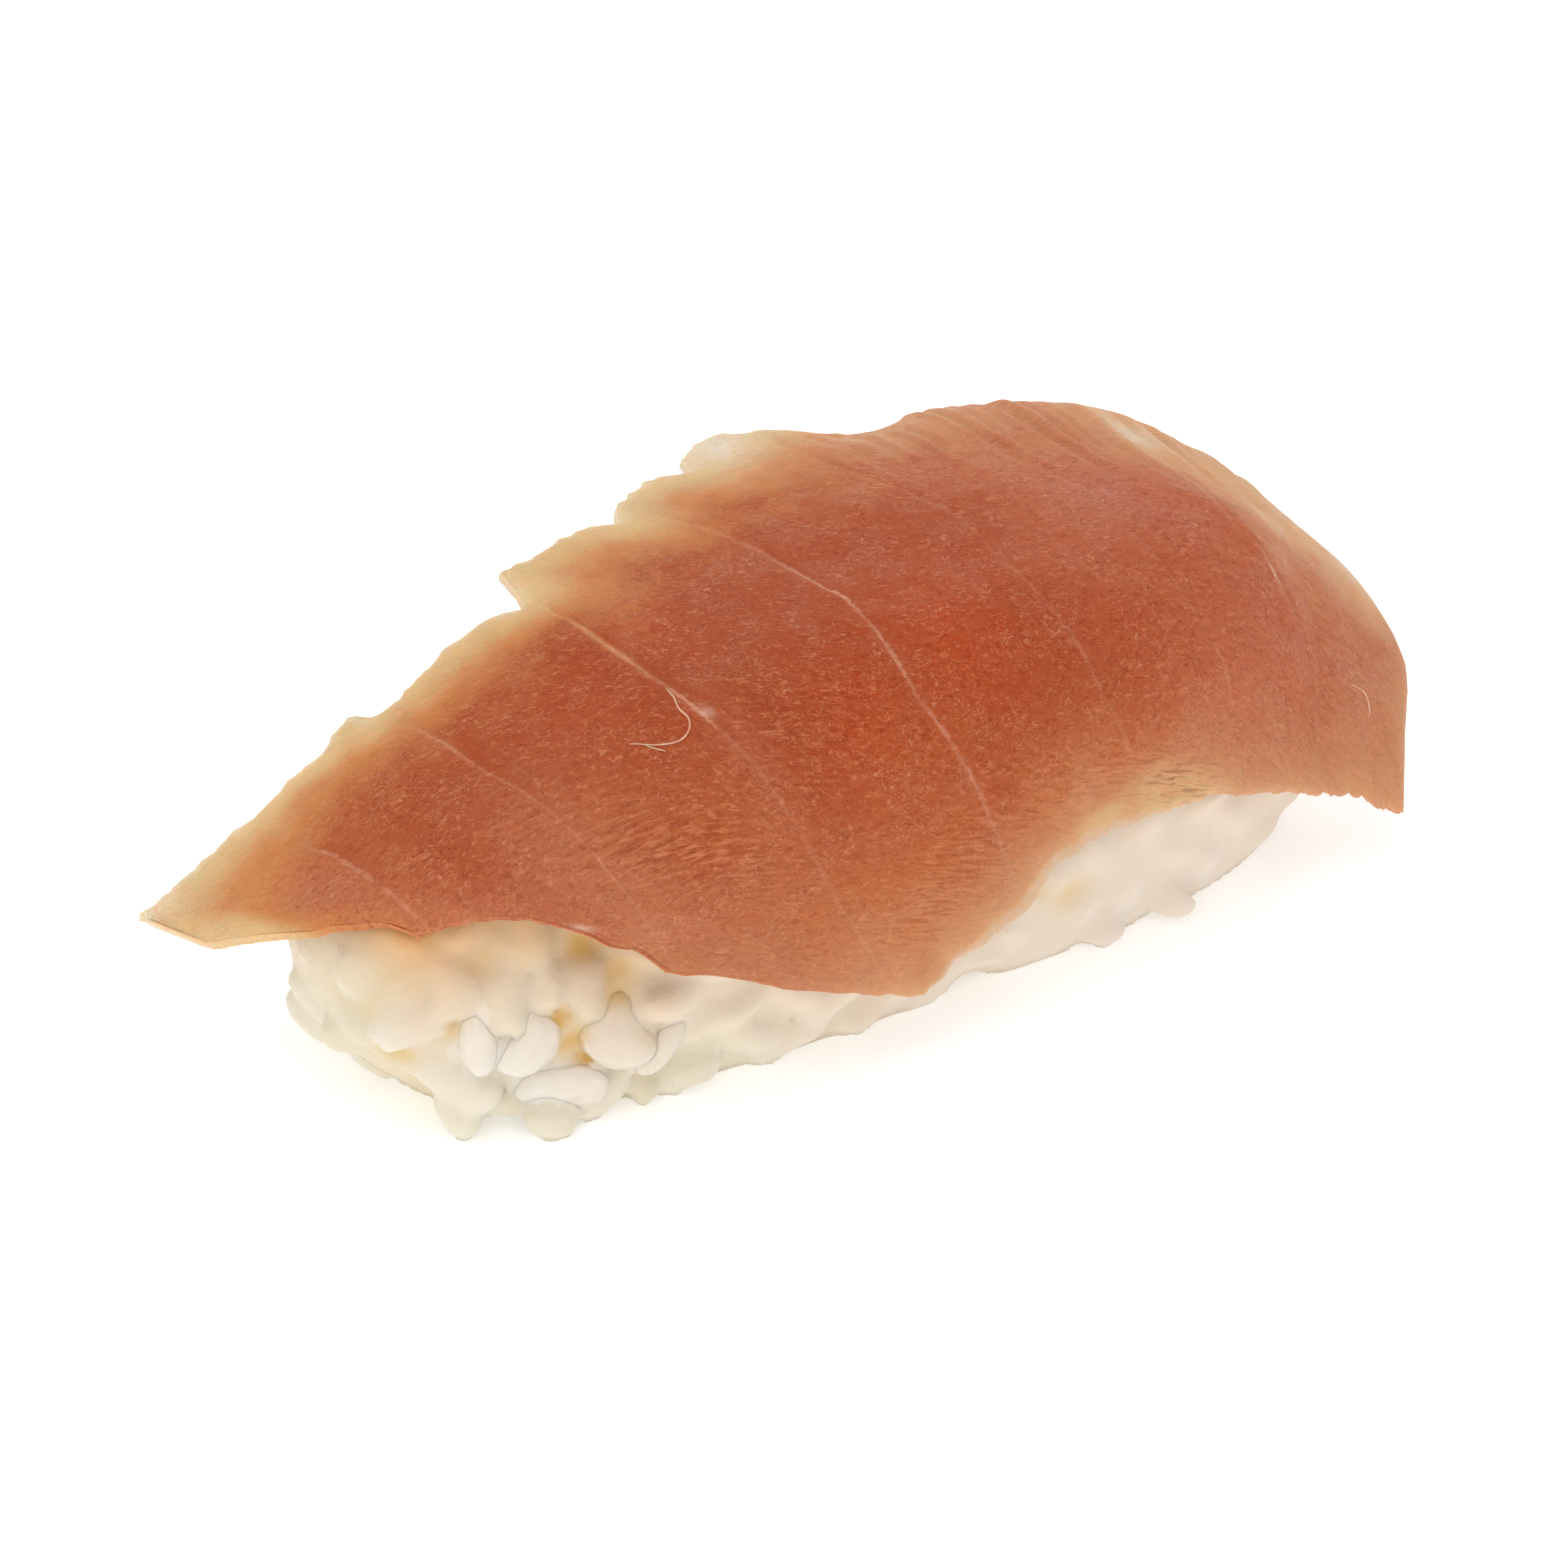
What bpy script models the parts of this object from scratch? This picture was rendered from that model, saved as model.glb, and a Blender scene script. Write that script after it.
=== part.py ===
# Tuna nigiri: a pad of pressed rice with a slice of raw tuna draped over it.
# Metres, +Z up. The pad's flat base rests on z = 0, with its centre at the origin and its length along X.
import math
import random

import bmesh
import bpy
import numpy as np
from mathutils import Euler
from mathutils import Vector
from mathutils.bvhtree import BVHTree

MM = 0.001

# The slice: the height of its top, and how its top bends down over the pad's ends and sides.
CREST_HEIGHT = 27.0 * MM
LEFT_BEND_START = -10.0 * MM
LEFT_BEND_RADIUS = 14.0 * MM
LEFT_SLOPE = 0.86
RIGHT_BEND_START = 21.7 * MM
RIGHT_BEND_RADIUS = 9.0 * MM
RIGHT_SLOPE = 1.15
SHOULDER_RADIUS = 9.0 * MM
CROWN_RADIUS = 400.0 * MM
NEAR_ANGLE = 88.0
NEAR_ANGLE_LEFT = 34.0
NEAR_ANGLE_RIGHT = 56.0
FAR_ANGLE_LEFT = 6.0
FAR_ANGLE = 52.0
FAR_ANGLE_RIGHT = 36.0
FAR_FLAT = 6.0 * MM
FAR_FLAT_MORE = 3.0 * MM
DRAPE_HALF_LENGTH = 36.0 * MM
DRAPE_HALF_WIDTH = 15.0 * MM

# The slice's thickness over the pad and at its edges, and the width of the taper between them.
THICKNESS = 4.2 * MM
EDGE_THICKNESS = 1.0 * MM
TAPER = 9.0 * MM
SINEW_GROOVE = 0.22 * MM
SWELL = 0.22 * MM
SINEW_BOW = 0.8 * MM

# The ends of each pale sinew on the slice's two long edges, in millimetres: x and the distance across
# at the far edge, then the same at the near edge. The first pair is the tip, the last the right end.
SINEW_ENDS = (
    (-40.8, 10.1, -40.4, 6.8),
    (-34.0, 8.7, -31.2, -7.0),
    (-26.6, 8.9, -20.6, -17.6),
    (-15.4, 10.8, -3.2, -30.3),
    (-3.4, 15.2, 6.1, -25.9),
    (6.4, 18.2, 14.7, -23.1),
    (16.0, 18.0, 22.6, -24.8),
    (26.6, 11.0, 30.0, -22.5),
    (36.6, 6.5, 34.8, -20.7),
)
# How far each long edge lies beyond the smooth curve through the sinews' ends: the place along the
# slice, counted in sinews, and millimetres out. The far edge is torn in steps at some sinews.
FAR_EDGE = (
    (0.0, -0.2), (0.4, -0.4), (0.9, 0.0), (1.03, -0.35), (1.5, -0.35), (1.7, -0.75), (1.97, -0.2),
    (2.06, -2.3), (2.5, -2.2), (2.75, -3.4), (2.84, -4.3), (2.98, -0.5), (3.22, -1.55), (3.5, -1.75),
    (3.6, -3.0), (3.72, -1.5), (4.05, -0.5), (4.24, -2.0), (4.44, 0.1), (4.65, 0.7), (4.8, 0.55),
    (4.9, -0.6), (5.3, -0.7), (6.0, -0.3), (6.7, 0.0), (7.1, -1.0), (7.33, 0.0), (7.45, -0.6), (8.0, 0.0),
)
NEAR_EDGE = (
    (0.0, -2.0), (0.09, 2.2), (0.3, 1.9), (0.55, 2.1), (0.75, 1.0), (0.95, 0.3), (1.05, 0.7), (1.2, 0.0),
    (1.45, -0.8), (1.7, -0.7), (1.9, 0.5), (2.05, 1.2), (2.15, 2.8), (2.35, 2.3), (2.6, 1.3), (2.85, -0.2),
    (3.05, -0.45), (3.23, 0.2), (3.46, -0.1), (3.75, 1.0), (3.95, 1.35), (4.1, 1.0), (4.26, 0.25),
    (4.6, 0.5), (4.95, 1.15), (5.35, 0.6), (5.7, -0.3), (6.3, 0.05), (6.85, -0.1), (7.3, -0.85), (8.0, -0.4),
)
# How far the right end bulges: the share of the way along it from far to near, and millimetres out.
END_EDGE = (
    (0.0, 0.0), (0.13, 0.85), (0.27, 1.7), (0.4, 2.4), (0.53, 3.25), (0.6, 3.4), (0.67, 3.0), (0.8, 1.7),
    (0.93, 0.6), (1.0, 0.0),
)
# Places of the slice's columns: even ones, and one at each side of each tear.
COLUMNS_PER_SINEW = 5
TEAR_COLUMNS = (1.97, 2.06, 2.84, 2.98, 3.6, 3.72, 4.24, 4.44)
ROWS = 16

# The rice: the bare core at a few heights, in millimetres: height, middle, half length and half width.
CORE_RINGS = (
    (0.0, 1.6, 30.8, 10.3),
    (3.5, 1.2, 32.7, 11.1),
    (8.0, 0.5, 33.6, 11.5),
    (12.5, 0.0, 32.9, 10.4),
    (16.0, 0.0, 30.6, 9.8),
    (19.0, 0.0, 27.4, 8.2),
    (21.3, 0.0, 23.6, 5.6),
    (22.3, 0.0, 18.0, 3.0),
)
CORNER_POWER = 3.0
CORE_SIDES = 44

# The gaps that grains and core keep to the slice, and how far out a covering slice counts as hiding them.
CLEARANCE = 0.35 * MM
CORE_CLEARANCE = 0.9 * MM
HIDDEN_REACH = 9.0 * MM

# The grains: size, spacing, height of their middles over the core's wall, and how many at most.
GRAIN_LENGTH = (5.2 * MM, 6.4 * MM)
GRAIN_WIDTH = (2.4 * MM, 2.9 * MM)
GRAIN_SPACING = 3.1 * MM
GRAIN_HEIGHTS = (0.25 * MM, -0.35 * MM, -0.95 * MM)
GRAIN_FOOT = 0.1 * MM
GRAIN_LIMIT = 172
GRAIN_SEED = 11


def smooth(x):
    x = np.clip(x, 0.0, 1.0)
    return x * x * (3.0 - 2.0 * x)


def bendDrop(distance, radius, slope):
    distance = np.maximum(distance, 0.0)
    return slope * (np.sqrt(distance * distance + radius * radius) - radius)


def crestHeight(x):
    left = bendDrop(LEFT_BEND_START - x, LEFT_BEND_RADIUS, LEFT_SLOPE)
    right = bendDrop(x - RIGHT_BEND_START, RIGHT_BEND_RADIUS, RIGHT_SLOPE)
    return CREST_HEIGHT - left - right


def foldDown(distance, flat, angle):
    """Level for the flat distance, round the shoulder, then straight down: how far out, how far down."""
    turned = np.clip((distance - flat) / SHOULDER_RADIUS, 0.0, angle)
    rest = np.maximum(distance - flat - SHOULDER_RADIUS * angle, 0.0)
    out = np.minimum(distance, flat) + SHOULDER_RADIUS * np.sin(turned) + rest * np.cos(angle)
    down = SHOULDER_RADIUS * (1.0 - np.cos(turned)) + rest * np.sin(angle)
    return out, down


def drape(x, across):
    """Point on the slice's top, at x along the pad and a distance across it over the crest."""
    towardLeft = smooth((-26.0 * MM - x) / (14.0 * MM))
    towardRight = smooth((x - 26.0 * MM) / (12.0 * MM))
    overMiddle = smooth((x - 5.0 * MM) / (14.0 * MM))
    nearAngle = NEAR_ANGLE + (NEAR_ANGLE_LEFT - NEAR_ANGLE) * towardLeft
    nearAngle = nearAngle + (NEAR_ANGLE_RIGHT - NEAR_ANGLE) * towardRight
    farAngle = FAR_ANGLE_LEFT + (FAR_ANGLE - FAR_ANGLE_LEFT) * overMiddle
    farAngle = farAngle + (FAR_ANGLE_RIGHT - FAR_ANGLE) * towardRight
    along = np.clip(np.abs(x) / DRAPE_HALF_LENGTH, 0.0, 0.97)
    nearFlat = np.maximum(DRAPE_HALF_WIDTH * (1.0 - along**3) ** (1.0 / 3.0) - SHOULDER_RADIUS, 2.0 * MM)
    farFlat = FAR_FLAT + FAR_FLAT_MORE * smooth((26.0 * MM - x) / (10.0 * MM))
    nearOut, nearDown = foldDown(np.maximum(-across, 0.0), nearFlat, np.radians(nearAngle))
    farOut, farDown = foldDown(np.maximum(across, 0.0), farFlat, np.radians(farAngle))
    height = crestHeight(x) - nearDown - farDown - across * across / CROWN_RADIUS
    return np.stack(np.broadcast_arrays(x, farOut - nearOut, height), -1)


def sinewEnds(place):
    """The two edge points at a place along the slice, on a smooth curve through the sinews' ends."""
    ends = np.array(SINEW_ENDS) * MM
    last = len(ends) - 1
    index = min(int(place), last - 1)
    t = place - index
    before = ends[index - 1] if index > 0 else 2.0 * ends[0] - ends[1]
    after = ends[index + 2] if index + 2 <= last else 2.0 * ends[last] - ends[last - 1]
    start = ends[index]
    end = ends[index + 1]
    return 0.5 * (
        2.0 * start
        + (end - before) * t
        + (2.0 * before - 5.0 * start + 4.0 * end - after) * t * t
        + (3.0 * start - before - 3.0 * end + after) * t**3
    )


def profile(points, place):
    """Height at a place of a line through a few (place, millimetres) points."""
    places, heights = zip(*points)
    return float(np.interp(place, places, heights)) * MM


def outlinePoint(place, t):
    """x and distance across at a place along the slice and a share t of the way from far to near."""
    farX, farAcross, nearX, nearAcross = sinewEnds(place)
    length = math.hypot(nearX - farX, nearAcross - farAcross)
    farOut = profile(FAR_EDGE, place) / length
    nearOut = profile(NEAR_EDGE, place) / length
    share = (1.0 + farOut + nearOut) * t - farOut
    last = len(SINEW_ENDS) - 1
    bulge = profile(END_EDGE, t) * float(smooth(place - last + 1.0))
    bow = -SINEW_BOW * math.sin(math.pi * t) * float(smooth(place) * smooth(last - place))
    x = farX + (nearX - farX) * share + bulge + bow
    across = farAcross + (nearAcross - farAcross) * share
    return x, across


def sliceGrid():
    """Top and underside of the slice as two grids of points, columns along it and rows across it."""
    last = len(SINEW_ENDS) - 1
    places = np.linspace(0.0, last, COLUMNS_PER_SINEW * last + 1)
    places = np.unique(np.concatenate((places, TEAR_COLUMNS)))
    shares = 0.5 - 0.5 * np.cos(np.pi * np.linspace(0.0, 1.0, ROWS))
    shares = 0.6 * shares + 0.4 * np.linspace(0.0, 1.0, ROWS)
    flat = np.array([[outlinePoint(float(place), float(t)) for t in shares] for place in places])
    x = flat[:, :, 0]
    across = flat[:, :, 1]
    step = 0.05 * MM
    top = drape(x, across)
    alongX = drape(x + step, across) - drape(x - step, across)
    alongY = drape(x, across + step) - drape(x, across - step)
    normals = np.cross(alongX, alongY)
    normals /= np.linalg.norm(normals, axis=-1, keepdims=True)
    thickness = sliceThickness(flat)
    underside = top - normals * thickness[:, :, None]
    depth = SINEW_GROOVE * np.exp(-(((places - np.round(places)) / 0.1) ** 2))
    depth[places < 0.5] = 0.0
    depth[places > last - 0.5] = 0.0
    inner = smooth((thickness - EDGE_THICKNESS) / (1.5 * MM))
    swellPhase = x / (5.3 * MM) + 1.4 * np.sin(across / (7.0 * MM))
    swell = SWELL * np.sin(swellPhase) * np.sin(across / (4.1 * MM))
    top = top + normals * (inner * (swell - depth[:, None]))[:, :, None]
    return top, underside, normals


def sliceThickness(flat):
    """Thick over the pad, thin at the edges, by the distance to the nearest edge."""
    width = np.linalg.norm(flat[:, -1] - flat[:, 0], axis=-1)
    shares = np.linalg.norm(flat - flat[:, :1], axis=-1) / width[:, None]
    acrossDistance = np.minimum(shares, 1.0 - shares) * width[:, None]
    tipDistance = np.linalg.norm(flat - flat[0, 0], axis=-1) * 0.8
    endDistance = np.linalg.norm(flat - flat[-1:, :], axis=-1)
    distance = np.minimum(np.minimum(acrossDistance, tipDistance), endDistance)
    return EDGE_THICKNESS + (THICKNESS - EDGE_THICKNESS) * smooth(distance / TAPER) ** 0.8


def loopIndices(columns, rows):
    """The border of a grid as one closed run of (column, row) pairs."""
    border = [(i, 0) for i in range(columns - 1)]
    border += [(columns - 1, j) for j in range(rows - 1)]
    border += [(i, rows - 1) for i in range(columns - 1, 0, -1)]
    border += [(0, j) for j in range(rows - 1, 0, -1)]
    return border


def buildShell(top, underside, rimShift):
    """A closed mesh from two matching grids, joined round the border through one rounded rim line."""
    columns, rows = top.shape[:2]
    mesh = bmesh.new()
    upper = [[mesh.verts.new(top[i, j]) for j in range(rows)] for i in range(columns)]
    lower = [[mesh.verts.new(underside[i, j]) for j in range(rows)] for i in range(columns)]
    for i in range(columns - 1):
        for j in range(rows - 1):
            mesh.faces.new((upper[i][j], upper[i][j + 1], upper[i + 1][j + 1], upper[i + 1][j]))
            mesh.faces.new((lower[i][j], lower[i + 1][j], lower[i + 1][j + 1], lower[i][j + 1]))
    border = loopIndices(columns, rows)
    rim = [mesh.verts.new(0.5 * (top[i, j] + underside[i, j]) + rimShift[i, j]) for i, j in border]
    for here in range(len(border)):
        there = (here + 1) % len(border)
        i, j = border[here]
        k, m = border[there]
        mesh.faces.new((upper[i][j], upper[k][m], rim[there], rim[here]))
        mesh.faces.new((rim[here], rim[there], lower[k][m], lower[i][j]))
    bmesh.ops.triangulate(mesh, faces=mesh.faces[:])
    bmesh.ops.recalc_face_normals(mesh, faces=mesh.faces[:])
    return mesh


def rimShifts(top, normals):
    """A small outward shift of the rim line, away from the slice's middle."""
    shift = np.zeros_like(top)
    shift[:, 0] += top[:, 0] - top[:, 1]
    shift[:, -1] += top[:, -1] - top[:, -2]
    shift[0, :] += top[0, :] - top[1, :]
    shift[-1, :] += top[-1, :] - top[-2, :]
    length = np.linalg.norm(shift, axis=-1, keepdims=True)
    length[length == 0.0] = 1.0
    return shift / length * 0.35 * MM


def addObject(name, mesh):
    data = bpy.data.meshes.new(name)
    mesh.to_mesh(data)
    mesh.free()
    made = bpy.data.objects.new(name, data)
    bpy.context.scene.collection.objects.link(made)
    return made


def addMaterial(made, colour, roughness):
    material = bpy.data.materials.new(made.name + "_material")
    material.use_nodes = True
    shader = material.node_tree.nodes["Principled BSDF"]
    shader.inputs["Base Color"].default_value = (*colour, 1.0)
    shader.inputs["Roughness"].default_value = roughness
    shader.inputs["Metallic"].default_value = 0.0
    made.data.materials.append(material)


def buildSlice():
    top, underside, normals = sliceGrid()
    made = addObject("tuna_slice", buildShell(top, underside, rimShifts(top, normals)))
    made.data.shade_smooth()
    addMaterial(made, (0.462, 0.102, 0.038), 0.35)
    return made


def corePoint(ring, angle):
    """Point on one of the core's rings, a rounded rectangle."""
    height, middle, halfLength, halfWidth = ring
    power = 2.0 / CORNER_POWER
    x = middle + halfLength * math.copysign(abs(math.cos(angle)) ** power, math.cos(angle))
    y = halfWidth * math.copysign(abs(math.sin(angle)) ** power, math.sin(angle))
    return Vector((x, y, height)) * MM


def buildCore():
    """The bare pad: rounded rings from the flat base up, closed by a fan at each end."""
    mesh = bmesh.new()
    angles = [math.tau * (k + 0.5) / CORE_SIDES for k in range(CORE_SIDES)]
    rings = [[mesh.verts.new(corePoint(ring, angle)) for angle in angles] for ring in CORE_RINGS]
    for lower, upper in zip(rings, rings[1:]):
        for k in range(CORE_SIDES):
            after = (k + 1) % CORE_SIDES
            mesh.faces.new((lower[k], lower[after], upper[after], upper[k]))
    foot = mesh.verts.new((0.0, 0.0, 0.0))
    crown = mesh.verts.new((0.0, 0.0, CORE_RINGS[-1][0] * MM + 0.2 * MM))
    for k in range(CORE_SIDES):
        after = (k + 1) % CORE_SIDES
        mesh.faces.new((foot, rings[0][after], rings[0][k]))
        mesh.faces.new((crown, rings[-1][k], rings[-1][after]))
    bmesh.ops.triangulate(mesh, faces=mesh.faces[:])
    bmesh.ops.recalc_face_normals(mesh, faces=mesh.faces[:])
    return mesh


def undersideTree():
    """The slice's underside, to measure the room below it."""
    top, underside, _ = sliceGrid()
    columns, rows = underside.shape[:2]
    points = [Vector(point) for point in underside.reshape(-1, 3)]
    faces = []
    for i in range(columns - 1):
        for j in range(rows - 1):
            a = i * rows + j
            faces.append((a, a + rows, a + rows + 1, a + 1))
    return BVHTree.FromPolygons(points, faces)


def fitCore(mesh, underside):
    """Lower the core's top where it would come nearer to the slice than the clearance."""
    for vertex in mesh.verts:
        if vertex.co.z < 6.0 * MM:
            continue
        below = Vector((vertex.co.x, vertex.co.y, -1.0 * MM))
        hit, normal, _, _ = underside.ray_cast(below, Vector((0.0, 0.0, 1.0)))
        if hit is None:
            continue
        room = hit.z - CORE_CLEARANCE / max(abs(normal.z), 0.35)
        vertex.co.z = min(vertex.co.z, room)


def buildGrain(rng, centre, outward, lengthwise):
    """One grain: a five-sided spindle with two rings, slightly bent, lying along the surface."""
    length = rng.uniform(*GRAIN_LENGTH)
    width = rng.uniform(*GRAIN_WIDTH)
    bend = rng.uniform(-0.25, 0.25) * MM
    side = outward.cross(lengthwise).normalized()
    points = [centre - lengthwise * length * 0.5]
    for share, size in ((-0.3, 0.85), (0.3, 0.85)):
        shift = side * bend * (1.0 - (share / 0.5) ** 2)
        for k in range(5):
            angle = math.tau * k / 5.0 + share
            ring = side * math.cos(angle) * width * 0.5 + outward * math.sin(angle) * width * 0.44
            points.append(centre + lengthwise * length * share + ring * size + shift)
    points.append(centre + lengthwise * length * 0.5)
    return points


GRAIN_FACES = [(0, 1 + (k + 1) % 5, 1 + k) for k in range(5)]
for k in range(5):
    GRAIN_FACES.append((1 + k, 1 + (k + 1) % 5, 6 + (k + 1) % 5))
    GRAIN_FACES.append((1 + k, 6 + (k + 1) % 5, 6 + k))
GRAIN_FACES += [(11, 6 + k, 6 + (k + 1) % 5) for k in range(5)]


def grainMesh(points):
    mesh = bmesh.new()
    vertices = [mesh.verts.new(point) for point in points]
    for face in GRAIN_FACES:
        mesh.faces.new([vertices[index] for index in face])
    bmesh.ops.recalc_face_normals(mesh, faces=mesh.faces[:])
    return mesh


def clearOfSlice(points, sliceTree):
    """True where every point of a grain, and points between them, keeps the clearance to the slice."""
    centre = sum(points, Vector()) / len(points)
    for point in points:
        for share in (1.0, 0.5):
            probe = centre.lerp(point, share)
            nearest, normal, _, distance = sliceTree.find_nearest(probe)
            if distance < CLEARANCE or (probe - nearest).dot(normal) < 0.0:
                return False
    return True


def coveredBySlice(point, outward, sliceTree):
    """True where the slice lies over a point both straight out from it and lower down."""
    low = (outward + Vector((0.0, 0.0, -0.9))).normalized()
    straightHit = sliceTree.ray_cast(point, outward, HIDDEN_REACH)[0]
    lowHit = sliceTree.ray_cast(point, low, HIDDEN_REACH)[0]
    return straightHit is not None and lowHit is not None


def surfaceSamples(core, rng, count):
    """Points spread at random over the core's walls, by area, each with its outward direction."""
    faces = [face for face in core.faces if face.normal.z > -0.9]
    sums = np.cumsum([face.calc_area() for face in faces])
    samples = []
    for _ in range(count):
        face = faces[int(np.searchsorted(sums, rng.random() * sums[-1]))]
        a, b, c = (vertex.co for vertex in face.verts)
        u = math.sqrt(rng.random())
        v = rng.random()
        samples.append((a * (1.0 - u) + b * u * (1.0 - v) + c * u * v, face.normal.copy()))
    return samples


def placeGrains(core, sliceTree):
    """Grains spread evenly over the core, largest room first, none across the slice or below the base."""
    rng = random.Random(GRAIN_SEED)
    placed = []
    grains = []
    for point, outward in surfaceSamples(core, rng, 9000):
        if len(grains) >= GRAIN_LIMIT:
            break
        if any((point - other).length < GRAIN_SPACING for other in placed):
            continue
        if coveredBySlice(point, outward, sliceTree):
            continue
        turn = Euler((rng.uniform(0.0, math.tau), rng.uniform(-0.35, 0.35), 0.0))
        frame = outward.to_track_quat("X", "Z")
        lengthwise = frame @ (turn.to_matrix() @ Vector((0.0, 1.0, 0.0)))
        lengthwise = (lengthwise - outward * lengthwise.dot(outward) * 0.8).normalized()
        for height in GRAIN_HEIGHTS:
            points = buildGrain(rng, point + outward * height, outward, lengthwise)
            rise = max(GRAIN_FOOT - min(p.z for p in points), 0.0)
            points = [p + Vector((0.0, 0.0, rise)) for p in points]
            if clearOfSlice(points, sliceTree):
                placed.append(point)
                grains.append(points)
                break
    return grains


def keepOneBody(mesh):
    """Keep the largest closed body of a mesh, without loose scraps or sealed hollows."""
    left = set(mesh.verts)
    bodies = []
    while left:
        stack = [left.pop()]
        body = set(stack)
        while stack:
            for edge in stack.pop().link_edges:
                for vertex in edge.verts:
                    if vertex in left:
                        left.remove(vertex)
                        body.add(vertex)
                        stack.append(vertex)
        bodies.append(body)
    bodies.sort(key=len)
    for body in bodies[:-1]:
        bmesh.ops.delete(mesh, geom=list(body), context="VERTS")


def buildRice(tunaSlice):
    core = buildCore()
    fitCore(core, undersideTree())
    core.normal_update()
    sliceMesh = bmesh.new()
    sliceMesh.from_mesh(tunaSlice.data)
    sliceTree = BVHTree.FromBMesh(sliceMesh)
    grains = placeGrains(core, sliceTree)
    sliceMesh.free()
    group = bpy.data.collections.new("grains")
    for index, points in enumerate(grains):
        grain = addObject("grain_%03d" % index, grainMesh(points))
        bpy.context.scene.collection.objects.unlink(grain)
        group.objects.link(grain)
    bpy.context.scene.collection.children.link(group)
    rice = addObject("rice", core)
    union = rice.modifiers.new("grains_on_core", "BOOLEAN")
    union.operation = "UNION"
    union.operand_type = "COLLECTION"
    union.collection = group
    union.solver = "EXACT"
    bpy.context.view_layer.update()
    evaluated = rice.evaluated_get(bpy.context.evaluated_depsgraph_get())
    fused = bmesh.new()
    fused.from_mesh(evaluated.to_mesh())
    evaluated.to_mesh_clear()
    rice.modifiers.clear()
    keepOneBody(fused)
    bmesh.ops.triangulate(fused, faces=fused.faces[:])
    fused.to_mesh(rice.data)
    fused.free()
    for grain in list(group.objects):
        bpy.data.objects.remove(grain)
    bpy.data.collections.remove(group)
    addMaterial(rice, (0.783, 0.701, 0.533), 0.5)
    return rice


for existing in list(bpy.data.objects):
    bpy.data.objects.remove(existing)
tunaSlice = buildSlice()
buildRice(tunaSlice)
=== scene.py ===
import math
import random

import bmesh
import bpy
import numpy as np
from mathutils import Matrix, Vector
from mathutils import noise
from mathutils.bvhtree import BVHTree
from mathutils.kdtree import KDTree


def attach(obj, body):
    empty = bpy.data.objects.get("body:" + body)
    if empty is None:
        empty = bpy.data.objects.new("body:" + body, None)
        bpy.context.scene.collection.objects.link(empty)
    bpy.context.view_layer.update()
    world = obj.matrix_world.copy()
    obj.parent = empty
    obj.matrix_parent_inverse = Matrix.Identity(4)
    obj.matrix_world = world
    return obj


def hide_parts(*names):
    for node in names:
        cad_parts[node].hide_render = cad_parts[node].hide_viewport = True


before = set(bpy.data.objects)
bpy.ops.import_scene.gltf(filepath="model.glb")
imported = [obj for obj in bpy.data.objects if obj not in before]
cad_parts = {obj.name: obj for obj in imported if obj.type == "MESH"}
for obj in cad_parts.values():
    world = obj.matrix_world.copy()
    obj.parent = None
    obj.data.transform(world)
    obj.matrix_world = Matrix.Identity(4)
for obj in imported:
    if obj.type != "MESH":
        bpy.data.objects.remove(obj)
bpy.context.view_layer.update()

mm = 0.001


def smooth(x):
    x = np.clip(x, 0.0, 1.0)
    return x * x * (3.0 - 2.0 * x)


def ramp(value, start, length):
    return smooth((value - start) / length)


def unit(vectors):
    # The same directions, each one unit long.
    return vectors / np.maximum(np.linalg.norm(vectors, axis=-1, keepdims=True), 1e-9)


def profile(points, values):
    # Height of a line through a few (place, height) points.
    places, heights = zip(*points)
    return np.interp(values, places, heights)


def throughPoints(table, places):
    # Rows of a table read at places between them, on a smooth curve.
    table = np.array(table, float)
    last = len(table) - 1
    padded = np.vstack((2.0 * table[0] - table[1], table, 2.0 * table[-1] - table[-2]))
    index = np.clip(places.astype(int), 0, last - 1)
    t = (places - index)[:, None]
    before, start, end, after = (padded[index + k] for k in range(4))
    return 0.5 * (
        2.0 * start
        + (end - before) * t
        + (2.0 * before - 5.0 * start + 4.0 * end - after) * t**2
        + (3.0 * start - before - 3.0 * end + after) * t**3
    )


def waves(u, v, size, seed):
    # Smooth noise of about one unit over a grid of coordinates.
    flatU = np.ravel(u) / size
    flatV = np.ravel(np.broadcast_to(v, np.shape(u))) / size
    values = [noise.noise(Vector((a, b, seed))) for a, b in zip(flatU, flatV)]
    return np.array(values).reshape(np.shape(u)) * 1.6


def mixedWaves(u, v, layers, start=0.0):
    # Noise of several sizes, added up: height, size and seed of each.
    return sum((height * waves(u, v, size, seed) for height, size, seed in layers), start)


def linear(red, green, blue):
    # A colour given as 0 to 255 on screen, as the shader wants it.
    channels = [value / 255.0 for value in (red, green, blue)]
    return tuple(c / 12.92 if c <= 0.04045 else ((c + 0.055) / 1.055) ** 2.4 for c in channels) + (1.0,)


def makeMesh(name, points, faces):
    data = bpy.data.meshes.new(name)
    data.from_pydata([tuple(point) for point in points * mm], [], faces)
    data.update()
    data.shade_smooth()
    return data


def makePiece(name, data):
    made = bpy.data.objects.new(name, data)
    bpy.context.scene.collection.objects.link(made)
    return made


def setAttribute(data, name, values):
    values = np.asarray(values, np.float32)
    kind = "FLOAT_VECTOR" if values.ndim == 2 else "FLOAT"
    attribute = data.attributes.new(name, kind, "POINT")
    attribute.data.foreach_set("vector" if values.ndim == 2 else "value", values.ravel())


# Camera and light
cameraSizes = {
    "turn": -30.0,  # degrees round from the front
    "rise": 35.0,  # degrees up
    "distance": 400.0,
    "target": (0.0, 0.0, 10.0),
    "pictureSize": 1546.0,
    "focalPixels": 6520.0,
    "centrePixel": (804.0, 795.0),  # where the target shows
    "sensorWidth": 36.0,
}


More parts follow.
